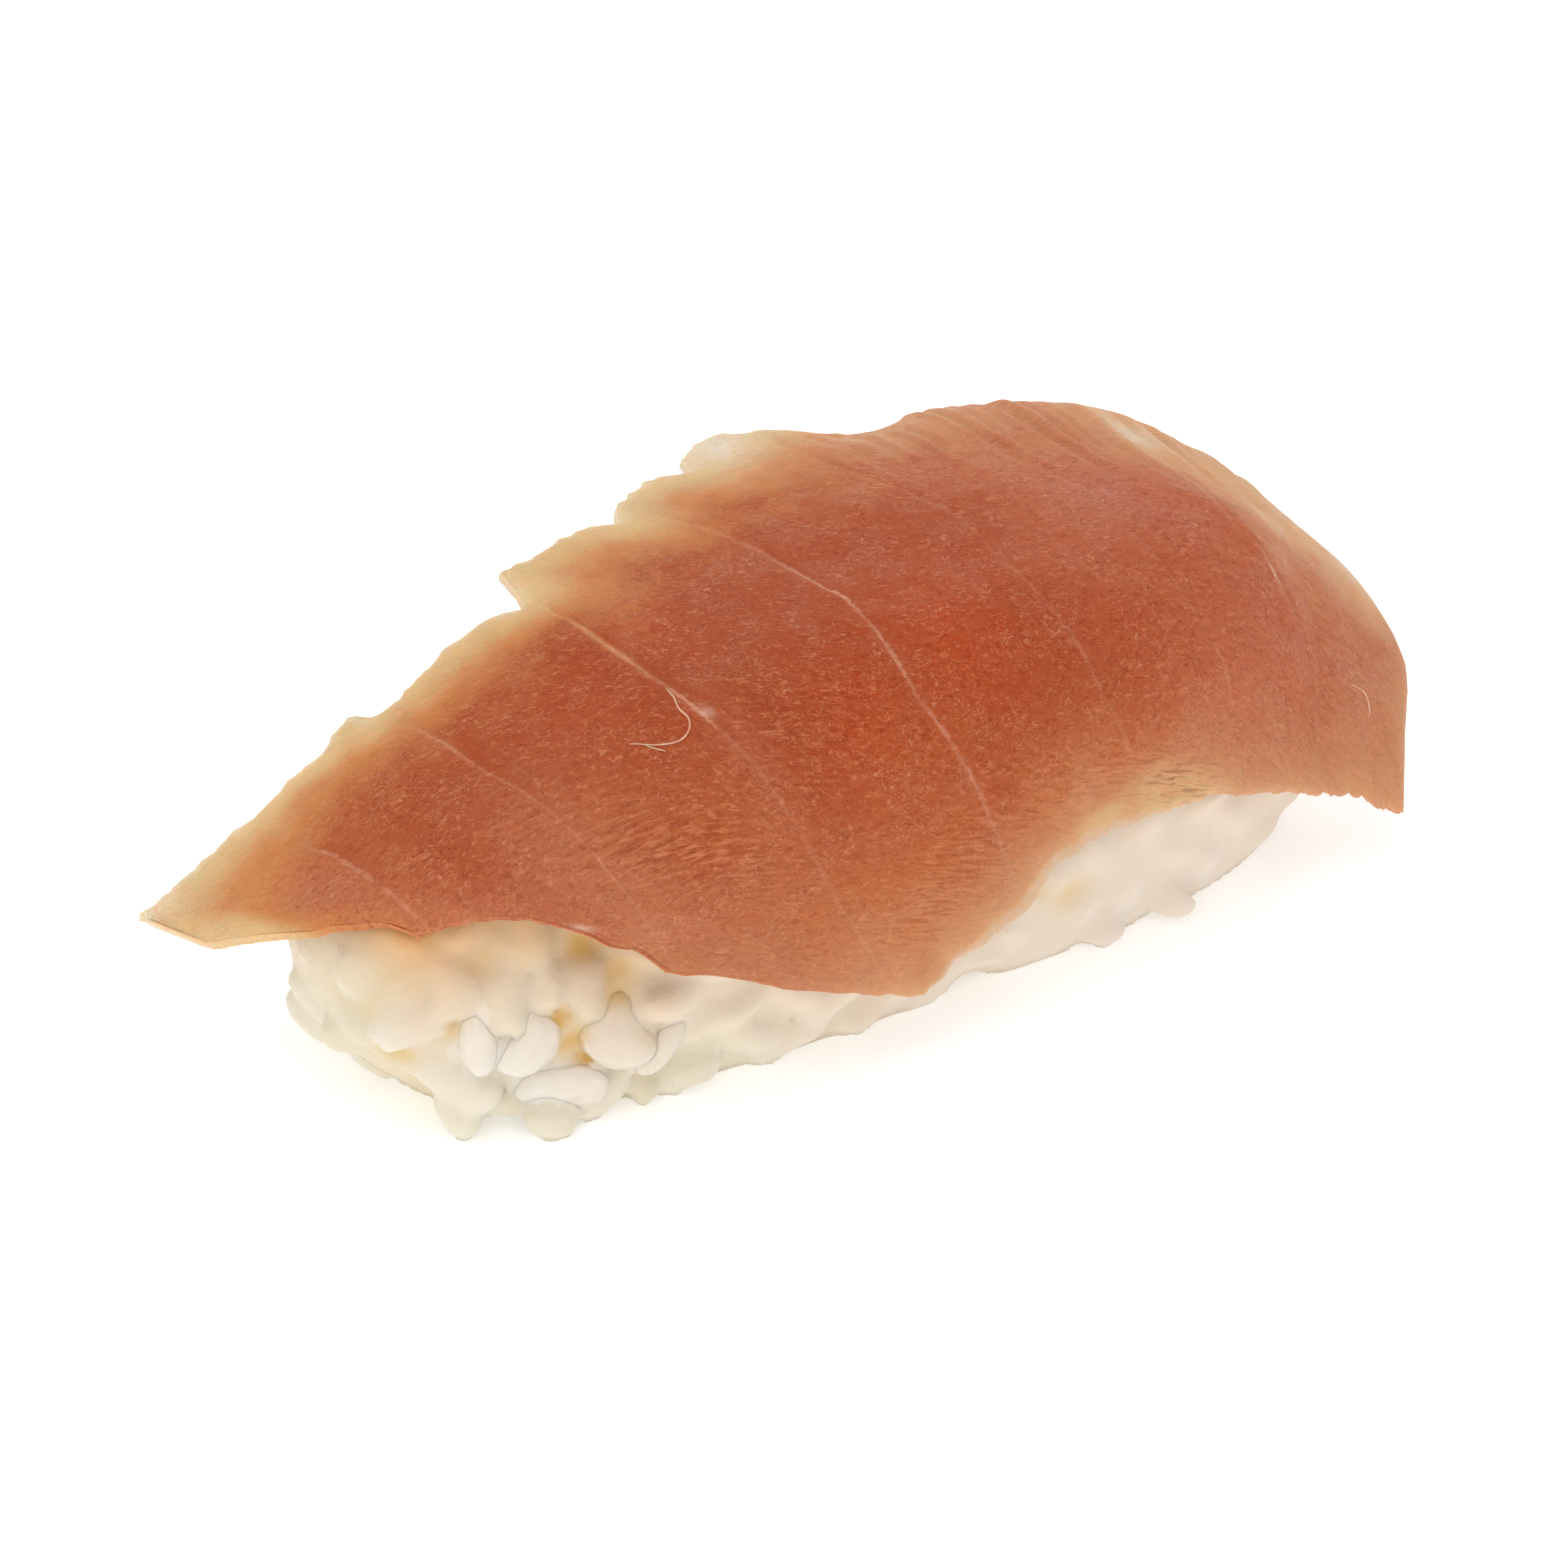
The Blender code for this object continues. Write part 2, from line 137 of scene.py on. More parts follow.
def viewDirection():
    turn = math.radians(cameraSizes["turn"])
    rise = math.radians(cameraSizes["rise"])
    return Vector((math.sin(turn) * math.cos(rise), -math.cos(turn) * math.cos(rise), math.sin(rise)))


def addCamera():
    data = bpy.data.cameras.new("camera")
    made = bpy.data.objects.new("camera", data)
    bpy.context.scene.collection.objects.link(made)
    toCamera = viewDirection()
    made.location = (Vector(cameraSizes["target"]) + toCamera * cameraSizes["distance"]) * mm
    made.rotation_euler = (-toCamera).to_track_quat("-Z", "Y").to_euler()
    size = cameraSizes["pictureSize"]
    data.sensor_width = cameraSizes["sensorWidth"]
    data.lens = cameraSizes["focalPixels"] / size * cameraSizes["sensorWidth"]
    data.shift_x = (0.5 * size - cameraSizes["centrePixel"][0]) / size
    data.shift_y = (cameraSizes["centrePixel"][1] - 0.5 * size) / size
    data.clip_start = 0.01
    bpy.context.scene.camera = made


studioLights = {
    "worldStrength": 0.84,
    "floorSize": 1600.0,
    "floorGlow": 0.28,
    # name: place, width, watts
    "softboxes": {
        "topLight": ((-120.0, -60.0, 520.0), 460.0, 0.62),
        "frontLight": ((-330.0, -360.0, 200.0), 320.0, 0.42),
        "farLight": ((260.0, 380.0, 260.0), 300.0, 0.2),
    },
}


def addStudio():
    world = bpy.data.worlds.new("paleRoom")
    world.use_nodes = True
    background = world.node_tree.nodes["Background"]
    background.inputs["Color"].default_value = (1.0, 1.0, 1.0, 1.0)
    background.inputs["Strength"].default_value = studioLights["worldStrength"]
    bpy.context.scene.world = world
    bpy.context.scene.view_settings.view_transform = "Standard"
    middle = Vector((0.0, 0.0, 10.0 * mm))
    for name, (place, width, watts) in studioLights["softboxes"].items():
        data = bpy.data.lights.new(name, "AREA")
        data.shape = "DISK"
        data.size = width * mm
        data.energy = watts
        made = bpy.data.objects.new(name, data)
        bpy.context.scene.collection.objects.link(made)
        made.location = Vector(place) * mm
        made.rotation_euler = (middle - made.location).to_track_quat("-Z", "Y").to_euler()
    half = 0.5 * studioLights["floorSize"]
    corners = np.array(((-half, -half, 0.0), (half, -half, 0.0), (half, half, 0.0), (-half, half, 0.0)))
    floor = makePiece("floor", makeMesh("floor", corners, [(0, 1, 2, 3)]))
    floor.data.materials.append(floorMaterial())


# Node helpers
def addNode(tree, kind, inputs, **settings):
    # A node with its settings and its inputs, by name or number: values or other nodes' outputs.
    node = tree.nodes.new(kind)
    for name, value in settings.items():
        setattr(node, name, value)
    for key, value in inputs.items():
        if isinstance(value, bpy.types.NodeSocket):
            tree.links.new(value, node.inputs[key])
        else:
            node.inputs[key].default_value = value
    return node


def calculate(tree, operation, first, second=0.0, clamp=False):
    inputs = {0: first, 1: second}
    return addNode(tree, "ShaderNodeMath", inputs, operation=operation, use_clamp=clamp).outputs[0]


def times(tree, first, second, clamp=False):
    return calculate(tree, "MULTIPLY", first, second, clamp)


def between(tree, value, low, high, lowTo=0.0, highTo=1.0):
    # Eased change from lowTo to highTo as the value goes from low to high.
    inputs = dict(enumerate((value, low, high, lowTo, highTo)))
    return addNode(tree, "ShaderNodeMapRange", inputs, interpolation_type="SMOOTHSTEP").outputs[0]


def blendColours(tree, factor, first, second):
    return addNode(tree, "ShaderNodeMix", {0: factor, 6: first, 7: second}, data_type="RGBA").outputs[2]


def layColours(tree, looks, colour, layers):
    # Lays named colours over the first one, from the lowest up: name, mask, amount or a second mask.
    for name, mask, amount in layers:
        colour = blendColours(tree, times(tree, mask, amount), colour, linear(*looks[name]))
    return colour


def readAttribute(tree, name, output="Fac"):
    return addNode(tree, "ShaderNodeAttribute", {}, attribute_name=name).outputs[output]


def useGroup(tree, group, **values):
    # Places a shared group; a name like streakLength sets the input Streak Length.
    inputs = {}
    for name, value in values.items():
        inputs["".join(" " + letter if letter.isupper() else letter for letter in name).title()] = value
    return addNode(tree, "ShaderNodeGroup", inputs, node_tree=group).outputs[0]


def newGroup(name, sizes):
    # A shared effect that reads Place and named sizes, given with their usual values, and puts out Mask.
    group = bpy.data.node_groups.new(name, "ShaderNodeTree")
    group.interface.new_socket("Place", in_out="INPUT", socket_type="NodeSocketVector")
    for label, usual in sizes.items():
        socket = group.interface.new_socket(label, in_out="INPUT", socket_type="NodeSocketFloat")
        socket.default_value = usual
    group.interface.new_socket("Mask", in_out="OUTPUT", socket_type="NodeSocketFloat")
    given = group.nodes.new("NodeGroupInput").outputs
    return group, given, group.nodes.new("NodeGroupOutput").inputs["Mask"]


def streakGroup():
    # Long thin streaks: noise stretched along one direction of the surface's own coordinates.
    sizes = {"Angle": 0.0, "Streak Length": 3.0, "Streak Width": 0.3, "Detail": 2.0, "Distortion": 0.0}
    group, given, mask = newGroup("streaks", sizes)
    inputs = {"Vector": given["Place"], "Angle": given["Angle"]}
    turned = addNode(group, "ShaderNodeVectorRotate", inputs, rotation_type="Z_AXIS").outputs[0]
    inputs = {"X": given["Streak Length"], "Y": given["Streak Width"], "Z": 1.0}
    size = addNode(group, "ShaderNodeCombineXYZ", inputs).outputs[0]
    place = addNode(group, "ShaderNodeVectorMath", {0: turned, 1: size}, operation="DIVIDE").outputs[0]
    inputs = {"Vector": place, "Scale": 1.0, "Detail": given["Detail"], "Distortion": given["Distortion"]}
    group.links.new(addNode(group, "ShaderNodeTexNoise", inputs).outputs[0], mask)
    return group


def mottleGroup():
    # Soft blotches, spread so that they run from 0 to 1.
    group, given, mask = newGroup("mottle", {"Blotch Size": 1.0, "Detail": 2.0, "Low": 0.35, "High": 0.65})
    scale = calculate(group, "DIVIDE", 1.0, given["Blotch Size"])
    inputs = {"Vector": given["Place"], "Scale": scale, "Detail": given["Detail"]}
    texture = addNode(group, "ShaderNodeTexNoise", inputs)
    group.links.new(between(group, texture.outputs[0], given["Low"], given["High"]), mask)
    return group


def newMaterial(name, sockets):
    # A material with constant values on its shader's own sockets.
    material = bpy.data.materials.new(name)
    material.use_nodes = True
    shader = material.node_tree.nodes["Principled BSDF"]
    for label, value in sockets.items():
        shader.inputs[label].default_value = value
    return material, material.node_tree, shader


def objectPlace(tree):
    # Object coordinates in millimetres.
    inputs = {0: addNode(tree, "ShaderNodeTexCoord", {}).outputs["Object"], "Scale": 1.0 / mm}
    return addNode(tree, "ShaderNodeVectorMath", inputs, operation="SCALE").outputs[0]


def addBump(tree, shader, height, depth, strength):
    bump = addNode(tree, "ShaderNodeBump", {"Height": height, "Distance": depth * mm, "Strength": strength})
    tree.links.new(bump.outputs["Normal"], shader.inputs["Normal"])


def floorMaterial():
    return newMaterial("paleFloor", {
        "Base Color": (0.93, 0.93, 0.93, 1.0), "Roughness": 0.8, "Specular IOR Level": 0.1,
        "Emission Color": (1.0, 1.0, 1.0, 1.0), "Emission Strength": studioLights["floorGlow"],
    })[0]


# The slice of tuna
drapeSizes = {
    "crestHeight": 27.0,
    "crownRadius": 400.0,
    "leftBend": (-10.0, 14.0, 0.86),  # start, radius, slope
    "rightBend": (21.7, 9.0, 1.15),
    "shoulderRadius": 9.0,
    "halfLength": 36.0,
    "mostAlong": 0.97,
    "halfWidth": 15.0,
    "nearAngles": (34.0, 88.0, 56.0),  # left, middle, right
    "farAngles": (6.0, 52.0, 36.0),
    # where along the pad the sides change, and over what length
    "leftTurn": (26.0, 14.0),
    "rightTurn": (26.0, 12.0),
    "farTurn": (5.0, 14.0),
    "nearFlat": 2.0,
    "farFlat": (6.0, 3.0),
    "farFlatTurn": (-26.0, 10.0),  # counted leftwards, as leftTurn is
}

sliceSizes = {
    "thickness": 4.2,
    "edgeThickness": 1.0,
    "rimThickness": 0.3,
    "rimRounding": 1.1,
    "taper": 9.0,
    "taperPower": 0.8,
    "rimOut": 0.12,  # how far the rim's middle stands out
    "rimShares": (0.7, 0.3),
    "columnsPerSinew": 40,
    "rows": 126,
    "crowding": 0.6,  # how much the rows crowd towards the edges
    "sinewSpacing": 8.0,  # about, for the noise along the edges
    # x and the distance across, at the far and the near end of each sinew; the tip first
    "sinewEnds": (
        (-40.8, 10.1, -40.4, 6.8),
        (-34.0, 8.7, -31.2, -7.0),
        (-26.6, 8.9, -20.6, -17.6),
        (-15.4, 10.8, -3.2, -30.3),
        (-3.4, 15.2, 6.1, -25.9),
        (6.4, 18.2, 14.7, -23.1),
        (16.0, 18.0, 22.6, -24.8),
        (26.6, 11.0, 30.0, -22.5),
        (36.6, 6.5, 34.8, -20.7),
    ),
    "sinewBow": 0.8,
    # place along the slice, counted in sinews, and how far out the edge lies
    "farEdge": (
        (0.0, -0.2), (0.1, -0.45), (0.4, -0.4), (0.6, -0.2), (0.68, -0.35), (0.9, 0.0), (0.97, -0.2),
        (1.03, -0.45), (1.3, -0.35), (1.5, -0.3), (1.7, -0.8), (1.82, -0.4), (1.97, -0.15), (2.0, -0.6),
        (2.03, -1.9), (2.08, -2.35), (2.3, -2.45), (2.5, -2.2), (2.62, -2.75), (2.72, -2.95),
        (2.79, -3.9), (2.84, -4.3), (2.9, -2.9), (2.98, -0.5), (3.06, -0.75), (3.16, -1.4), (3.4, -1.6),
        (3.5, -1.8), (3.55, -2.4), (3.61, -3.2), (3.69, -1.95), (3.74, -1.4), (3.9, -1.05), (4.02, -0.5),
        (4.12, -0.7), (4.24, -2.0), (4.3, -1.7), (4.36, -0.5), (4.44, 0.15), (4.66, 0.75), (4.8, 0.55),
        (4.87, -0.6), (5.0, -0.8), (5.3, -0.7), (6.0, -0.3), (6.7, 0.0), (7.08, -1.0), (7.2, -1.0),
        (7.33, 0.1), (7.45, -0.7), (7.64, 0.3), (7.8, -0.4), (8.0, 0.0),
    ),
    "nearEdge": (
        (0.0, -2.0), (0.04, 0.0), (0.09, 2.25), (0.15, 2.25), (0.3, 1.8), (0.45, 1.65), (0.56, 1.72),
        (0.66, 0.88), (0.76, 0.61), (0.89, 0.09), (0.96, 0.0), (1.05, 0.55), (1.12, 0.22), (1.2, -0.23),
        (1.36, -0.75), (1.5, -0.95), (1.66, -0.85), (1.78, -0.25), (1.89, 0.54), (1.96, 1.36),
        (2.06, 1.56), (2.1, 2.3), (2.15, 3.28), (2.22, 3.33), (2.35, 2.73), (2.5, 2.25), (2.62, 1.65),
        (2.75, 0.76), (2.85, 0.23), (3.05, 0.08), (3.13, 0.6), (3.23, 0.82), (3.36, 0.7), (3.47, 0.48),
        (3.55, 0.98), (3.71, 1.84), (3.85, 2.21), (3.96, 2.61), (4.1, 2.27), (4.26, 1.24), (4.4, 1.27),
        (4.6, 1.43), (4.8, 1.41), (4.92, 1.82), (5.06, 1.75), (5.3, 1.35), (5.58, 0.67), (5.75, 0.03),
        (5.93, -0.06), (6.1, 0.38), (6.6, 0.6), (6.83, 0.4), (7.04, 0.05), (7.3, -0.35), (7.48, -0.35),
        (7.66, -0.03), (8.0, 0.0),
    ),
    # share of the way down the right end, and how far it bulges
    "endEdge": (
        (0.0, 0.0), (0.13, 0.85), (0.27, 1.7), (0.4, 2.4), (0.53, 3.25), (0.6, 3.4), (0.67, 3.0),
        (0.8, 1.8), (0.93, 0.9), (1.0, 0.5),
    ),
    # the top's relief begins this far from the edge and is full after this length
    "reliefStart": (0.6, 2.5),
    "swell": (0.22, 5.3, 4.1),  # height, size along and across
    "swellBend": (1.4, 7.0),
    "ripples": ((0.07, 2.6, 21.0), (0.035, 1.1, 27.0)),  # height, size, seed
    "grooveDepth": (0.08, 0.14),  # at least, and more where the line is clear
    "grooveWidth": 0.28,
    "overlap": (0.16, 1.8, 0.25),  # height, reach, how far from the line it is full
    "clearOverlap": 0.35,  # its share at a line without dark flesh beside it
    "scallops": (0.36, 0.8, 41.0),
    "scallopStart": 4.8,  # they lie right of this place
    "paleStart": (-1.9, 1.7),  # where it pales towards the tip, counted leftwards, over what length
    # shallow hollows in the top: place, share, half length, half width, depth
    "hollows": ((6.6, 0.25, 0.22, 0.14, 0.75), (5.6, 0.2, 0.7, 0.14, 0.4), (7.45, 0.45, 0.2, 0.12, 0.35)),
    # how ragged each edge is along its length, and the noise in it: share, size, seed
    "farRagged": ((0.0, 0.14), (2.0, 0.14), (2.3, 0.2), (4.8, 0.26), (6.0, 0.12), (8.0, 0.16)),
    "farWaves": ((0.8, 0.9, 3.0), (0.8, 0.4, 5.0), (0.5, 0.2, 6.0)),
    "nearRagged": ((0.0, 0.08), (2.0, 0.1), (3.2, 0.1), (3.5, 0.2), (5.6, 0.16), (6.0, 0.2), (8.0, 0.22)),
    "nearWaves": ((0.8, 1.1, 8.0), (0.8, 0.4, 11.0), (0.5, 0.2, 12.0)),
}

# Each sinew: where its line runs beside its place, how clear and how broad it is, and how dark the flesh
# beside it, deeper flesh and painted shade, all as (share of the way from far to near, value).
sinewLines = (
    {
        "line": ((0.0, -0.03), (0.22, 0.1), (0.46, 0.2), (0.69, 0.18), (0.9, 0.15)),
        "clear": ((0.0, 0.5), (0.15, 0.3), (0.35, 0.6), (0.6, 0.7), (1.0, 0.6)),
        "dark": ((0.3, 0.1), (0.45, 0.8), (0.6, 0.6), (0.8, 0.1)),
    },
    {
        "line": ((0.0, 0.0), (0.14, 0.08), (0.3, 0.1), (0.45, 0.08), (0.6, 0.1), (0.83, 0.14), (1.0, 0.18)),
        "clear": ((0.0, 0.6), (0.2, 0.75), (0.38, 0.5), (0.5, 0.2), (0.7, 0.35), (0.9, 0.6), (1.0, 0.3)),
        "dark": ((0.1, 0.0), (0.22, 0.5), (0.35, 0.9), (0.45, 0.9), (0.6, 0.3), (0.7, 0.0)),
    },
    {
        "line": (
            (0.0, -0.12), (0.19, -0.1), (0.39, -0.17), (0.5, -0.17), (0.62, -0.12), (0.83, -0.05),
            (1.0, 0.06),
        ),
        "clear": ((0.0, 0.6), (0.2, 0.9), (0.48, 0.95), (0.54, 0.4), (0.7, 0.35), (1.0, 0.3)),
        "broad": ((0.05, 0.6), (0.15, 1.0), (0.3, 0.6), (0.42, 0.0)),
        "dark": ((0.1, 0.2), (0.25, 0.7), (0.38, 0.9), (0.5, 0.4), (0.6, 0.0)),
    },
    {
        "line": (
            (0.1, -0.24), (0.22, -0.1), (0.3, -0.05), (0.48, -0.02), (0.57, -0.1), (0.66, -0.15),
            (0.81, -0.07), (1.0, 0.0),
        ),
        "clear": (
            (0.1, 0.15), (0.25, 0.6), (0.45, 0.95), (0.7, 0.85), (0.82, 0.6), (0.92, 0.3), (1.0, 0.2),
        ),
        "dark": ((0.2, 0.0), (0.4, 0.3), (0.5, 0.3), (0.7, 0.0)),
    },
    {
        "line": (
            (0.2, -0.06), (0.34, 0.08), (0.45, 0.18), (0.57, 0.03), (0.66, 0.0), (0.82, -0.02),
            (1.0, 0.08),
        ),
        "clear": ((0.2, 0.1), (0.35, 0.32), (0.55, 0.2), (0.8, 0.28), (0.95, 0.2)),
    },
    {
        "line": ((0.25, -0.08), (0.38, 0.05), (0.46, 0.1), (0.57, 0.0), (0.7, 0.03), (0.8, 0.1)),
        "clear": ((0.2, 0.1), (0.4, 0.22), (0.6, 0.15), (0.8, 0.3), (0.95, 0.1)),
    },
    {
        "line": ((0.2, 0.0), (0.41, -0.12), (0.54, -0.17), (0.58, -0.02), (0.66, 0.05), (0.8, 0.14)),
        "clear": ((0.2, 0.3), (0.43, 0.35), (0.5, 0.2), (0.56, 0.05), (1.0, 0.0)),
    },
)

# How deep each edge's pale margin reaches into the flesh, and how strong it is, at places along the slice
margins = {
    "farReach": (
        (0.0, 6.4), (0.5, 5.2), (1.0, 3.2), (1.5, 3.8), (2.0, 3.4), (2.7, 3.3), (3.05, 3.8), (3.5, 4.2),
        (4.3, 4.8), (4.8, 5.8), (5.2, 4.6), (5.8, 2.5), (8.0, 2.5),
    ),
    "farStrength": ((0.0, 1.0), (4.9, 1.0), (5.6, 0.35), (8.0, 0.3)),
    # towards the right the far margin is wide and rosy
    "rosyStrength": (
        (4.6, 0.0), (5.0, 0.4), (5.3, 0.85), (5.7, 0.75), (6.1, 0.62), (6.5, 0.45), (6.7, 0.6), (6.9, 0.95),
        (7.2, 0.88), (7.6, 0.95), (8.0, 1.1),
    ),
    "rosyReach": (
        (5.0, 8.0), (5.5, 9.5), (6.0, 10.0), (6.5, 8.7), (6.75, 10.0), (7.0, 13.6), (7.5, 15.6),
        (8.0, 17.5),
    ),
    "rosyPower": ((5.5, 3.0), (6.0, 4.0), (6.5, 4.0), (7.0, 3.5), (7.3, 4.5), (7.5, 6.0)),
    "nearReach": (
        (0.0, 4.0), (0.7, 2.4), (1.2, 1.4), (1.6, 1.2), (1.85, 4.6), (2.6, 4.0), (3.05, 3.4), (3.4, 3.0),
        (3.85, 3.2), (4.2, 2.2), (4.6, 2.6), (5.4, 2.0), (6.0, 3.0), (6.6, 2.4), (7.1, 2.6), (7.5, 5.5),
        (8.0, 6.5),
    ),
    "nearStrength": (
        (0.0, 0.9), (0.4, 0.8), (0.8, 0.35), (1.2, 0.22), (1.6, 0.15), (1.85, 0.2), (2.2, 0.38),
        (2.6, 0.4), (3.05, 0.91), (3.4, 1.26), (3.85, 1.41), (4.2, 1.7), (4.6, 1.48), (5.0, 1.38),
        (5.4, 1.45), (6.0, 0.83), (6.6, 0.89), (7.1, 0.82), (8.0, 0.85),
    ),
    "nearMost": 1.05,
    "endReach": 2.2,
    "endStrength": 0.85,
    "tipEnd": 1.3,  # left of this place the near margin is pale, not rosy
    "unevenness": ((0.22, 4.5, 33.0), (0.12, 1.6, 37.0)),  # height, size, seed
}

# Soft spots of other colours: place, share, half length, half width, strength
fleshSpots = {
    # pale haze spots, partly the flesh's own pale film and partly painted sheen on the upper right
    "haze": (
        (0.95, 0.7, 0.3, 0.26, 1.0), (5.95, 0.47, 0.4, 0.2, 0.9), (5.3, 0.3, 0.6, 0.1, 0.7),
        (4.2, 0.3, 0.5, 0.08, 0.4), (7.4, 0.8, 0.6, 0.3, 1.0), (6.4, 0.35, 0.7, 0.3, 0.7),
        (6.4, 0.75, 0.7, 0.25, 0.6), (2.0, 0.8, 0.3, 0.2, 0.8), (1.5, 0.93, 0.5, 0.16, 0.8),
        (2.2, 0.97, 0.6, 0.06, 0.8), (2.9, 0.58, 0.12, 0.1, 0.6), (5.6, 0.62, 0.4, 0.1, 0.5),
    ),
    # a mauve bloom, partly the flesh's own pink and partly painted sheen, and cream along the near edge
    "mauveAndSheen": (
        (6.15, 0.47, 0.25, 0.07, 1.0), (6.35, 0.55, 0.2, 0.05, 0.7), (7.5, 0.72, 0.25, 0.06, 0.8),
        (7.6, 0.9, 0.35, 0.12, 0.6), (7.1, 0.97, 0.3, 0.05, 0.6),
    ),
    "cream": ((5.4, 1.0, 0.5, 0.055, 1.0), (4.75, 1.0, 0.25, 0.02, 0.8)),
    # level ripples, with painted shade in their grooves and painted highlight on their crests, and short
    # pale strokes that comb down to the near edge
    "wrinkled": (
        (2.42, 0.76, 0.35, 0.09, 1.0), (3.7, 0.9, 0.7, 0.07, 0.7), (2.1, 0.66, 0.25, 0.08, 0.4),
        (3.2, 0.6, 0.5, 0.1, 0.35), (5.4, 0.97, 0.5, 0.05, 1.0), (4.8, 0.93, 0.5, 0.05, 0.6),
    ),
    "combed": (
        (6.4, 0.96, 0.45, 0.04, 1.0), (7.3, 0.93, 0.4, 0.05, 0.5), (5.9, 0.35, 0.5, 0.14, 0.5),
        (5.15, 0.29, 0.35, 0.07, 0.9),
    ),
    "deep": (
        (4.3, 0.64, 0.5, 0.14, 1.0), (3.5, 0.62, 0.35, 0.12, 0.8), (4.5, 0.5, 0.3, 0.1, 0.4),
        (3.1, 0.28, 0.2, 0.1, 0.5), (2.5, 0.4, 0.3, 0.2, 0.3), (5.4, 0.72, 0.3, 0.08, 0.4),
    ),
    "gold": (
        (0.7, 0.87, 0.45, 0.08, 1.0), (3.3, 0.9, 0.8, 0.14, 0.9), (4.6, 0.93, 0.8, 0.1, 0.9),
        (2.6, 0.72, 0.5, 0.12, 0.45), (0.5, 0.45, 0.5, 0.4, 0.7), (3.6, 0.75, 0.5, 0.1, 0.4),
        (5.6, 0.9, 0.6, 0.1, 0.4), (1.1, 0.93, 0.3, 0.08, 0.85),
    ),
    "scrap": (
        (4.62, 0.03, 0.22, 0.06, 1.0), (6.95, 0.2, 0.12, 0.05, 0.7), (2.0, 0.02, 0.06, 0.05, 0.5),
        (0.93, 0.02, 0.06, 0.06, 0.5), (2.86, 0.5, 0.018, 0.01, 0.6), (0.15, 0.35, 0.2, 0.3, 0.3),
        (6.98, 0.62, 0.012, 0.012, 0.9), (1.88, 0.98, 0.05, 0.01, 0.5),
    ),
}


def bendDrop(distance, radius, slope):
    distance = np.maximum(distance, 0.0)
    return slope * (np.sqrt(distance * distance + radius * radius) - radius)


def foldDown(distance, flat, angle):
    # Level for the flat distance, round the shoulder, then straight down.
    radius = drapeSizes["shoulderRadius"]
    turned = np.clip((distance - flat) / radius, 0.0, angle)
    rest = np.maximum(distance - flat - radius * angle, 0.0)
    out = np.minimum(distance, flat) + radius * np.sin(turned) + rest * np.cos(angle)
    down = radius * (1.0 - np.cos(turned)) + rest * np.sin(angle)
    return out, down


def drape(x, across):
    # Point on the slice's top, at x along the pad and a distance across it over the crest.
    towardRight = ramp(x, *drapeSizes["rightTurn"])
    left, middle, right = drapeSizes["nearAngles"]
    nearAngle = middle + (left - middle) * ramp(-x, *drapeSizes["leftTurn"])
    nearAngle = nearAngle + (right - middle) * towardRight
    left, middle, right = drapeSizes["farAngles"]
    farAngle = left + (middle - left) * ramp(x, *drapeSizes["farTurn"])
    farAngle = farAngle + (right - middle) * towardRight
    along = np.clip(np.abs(x) / drapeSizes["halfLength"], 0.0, drapeSizes["mostAlong"])
    halfWidth = drapeSizes["halfWidth"] * (1.0 - along**3) ** (1.0 / 3.0)
    nearFlat = np.maximum(halfWidth - drapeSizes["shoulderRadius"], drapeSizes["nearFlat"])
    least, more = drapeSizes["farFlat"]
    farFlat = least + more * ramp(-x, *drapeSizes["farFlatTurn"])
    nearOut, nearDown = foldDown(np.maximum(-across, 0.0), nearFlat, np.radians(nearAngle))
    farOut, farDown = foldDown(np.maximum(across, 0.0), farFlat, np.radians(farAngle))
    leftStart, leftRadius, leftSlope = drapeSizes["leftBend"]
    rightStart, rightRadius, rightSlope = drapeSizes["rightBend"]
    height = drapeSizes["crestHeight"] - bendDrop(leftStart - x, leftRadius, leftSlope)
    height = height - bendDrop(x - rightStart, rightRadius, rightSlope)
    height = height - nearDown - farDown - across * across / drapeSizes["crownRadius"]
    return np.stack(np.broadcast_arrays(x, farOut - nearOut, height), -1)


def drapeNormals(x, across):
    step = 0.05
    alongX = drape(x + step, across) - drape(x - step, across)
    alongY = drape(x, across + step) - drape(x, across - step)
    return unit(np.cross(alongX, alongY))


def edgeOut(side, places):
    # How far out the far or the near edge lies at places along the slice.
    fine = mixedWaves(places * sliceSizes["sinewSpacing"], 0.0, sliceSizes[side + "Waves"])
    return profile(sliceSizes[side + "Edge"], places) + profile(sliceSizes[side + "Ragged"], places) * fine


def flatPlace(places, shares):
    # x, distance across and smooth share for a grid of places along the slice and shares across it.
    ends = throughPoints(sliceSizes["sinewEnds"], places)
    farX, farAcross, nearX, nearAcross = (column[:, None] for column in ends.T)
    length = np.hypot(nearX - farX, nearAcross - farAcross)
    farOut, nearOut = (edgeOut(side, places)[:, None] / length for side in ("far", "near"))
    share = (1.0 + farOut + nearOut) * shares[None, :] - farOut
    last = len(sliceSizes["sinewEnds"]) - 1
    bulge = profile(sliceSizes["endEdge"], shares)[None, :] * smooth(places - last + 1.0)[:, None]
    bowed = smooth(places) * smooth(last - places)
    bow = -sliceSizes["sinewBow"] * np.sin(np.pi * shares)[None, :] * bowed[:, None]
    x = farX + (nearX - farX) * share + bulge + bow
    across = farAcross + (nearAcross - farAcross) * share
    return x, across, share


def nearestDistance(x, across, edgeX, edgeAcross):
    # Distance in the flat slice from each grid point to the nearest point of an edge.
    best = np.full(x.shape, 1e9)
    for a, b in zip(edgeX, edgeAcross):
        best = np.minimum(best, (x - a) ** 2 + (across - b) ** 2)
    return np.sqrt(best)


def spotMask(spots, places, shares):
    mask = np.zeros(shares.shape)
    for place, share, halfLength, halfWidth, strength in spots:
        away = ((places - place) / halfLength) ** 2 + ((shares - share) / halfWidth) ** 2
        mask = np.maximum(mask, strength * np.exp(-away))
    return mask


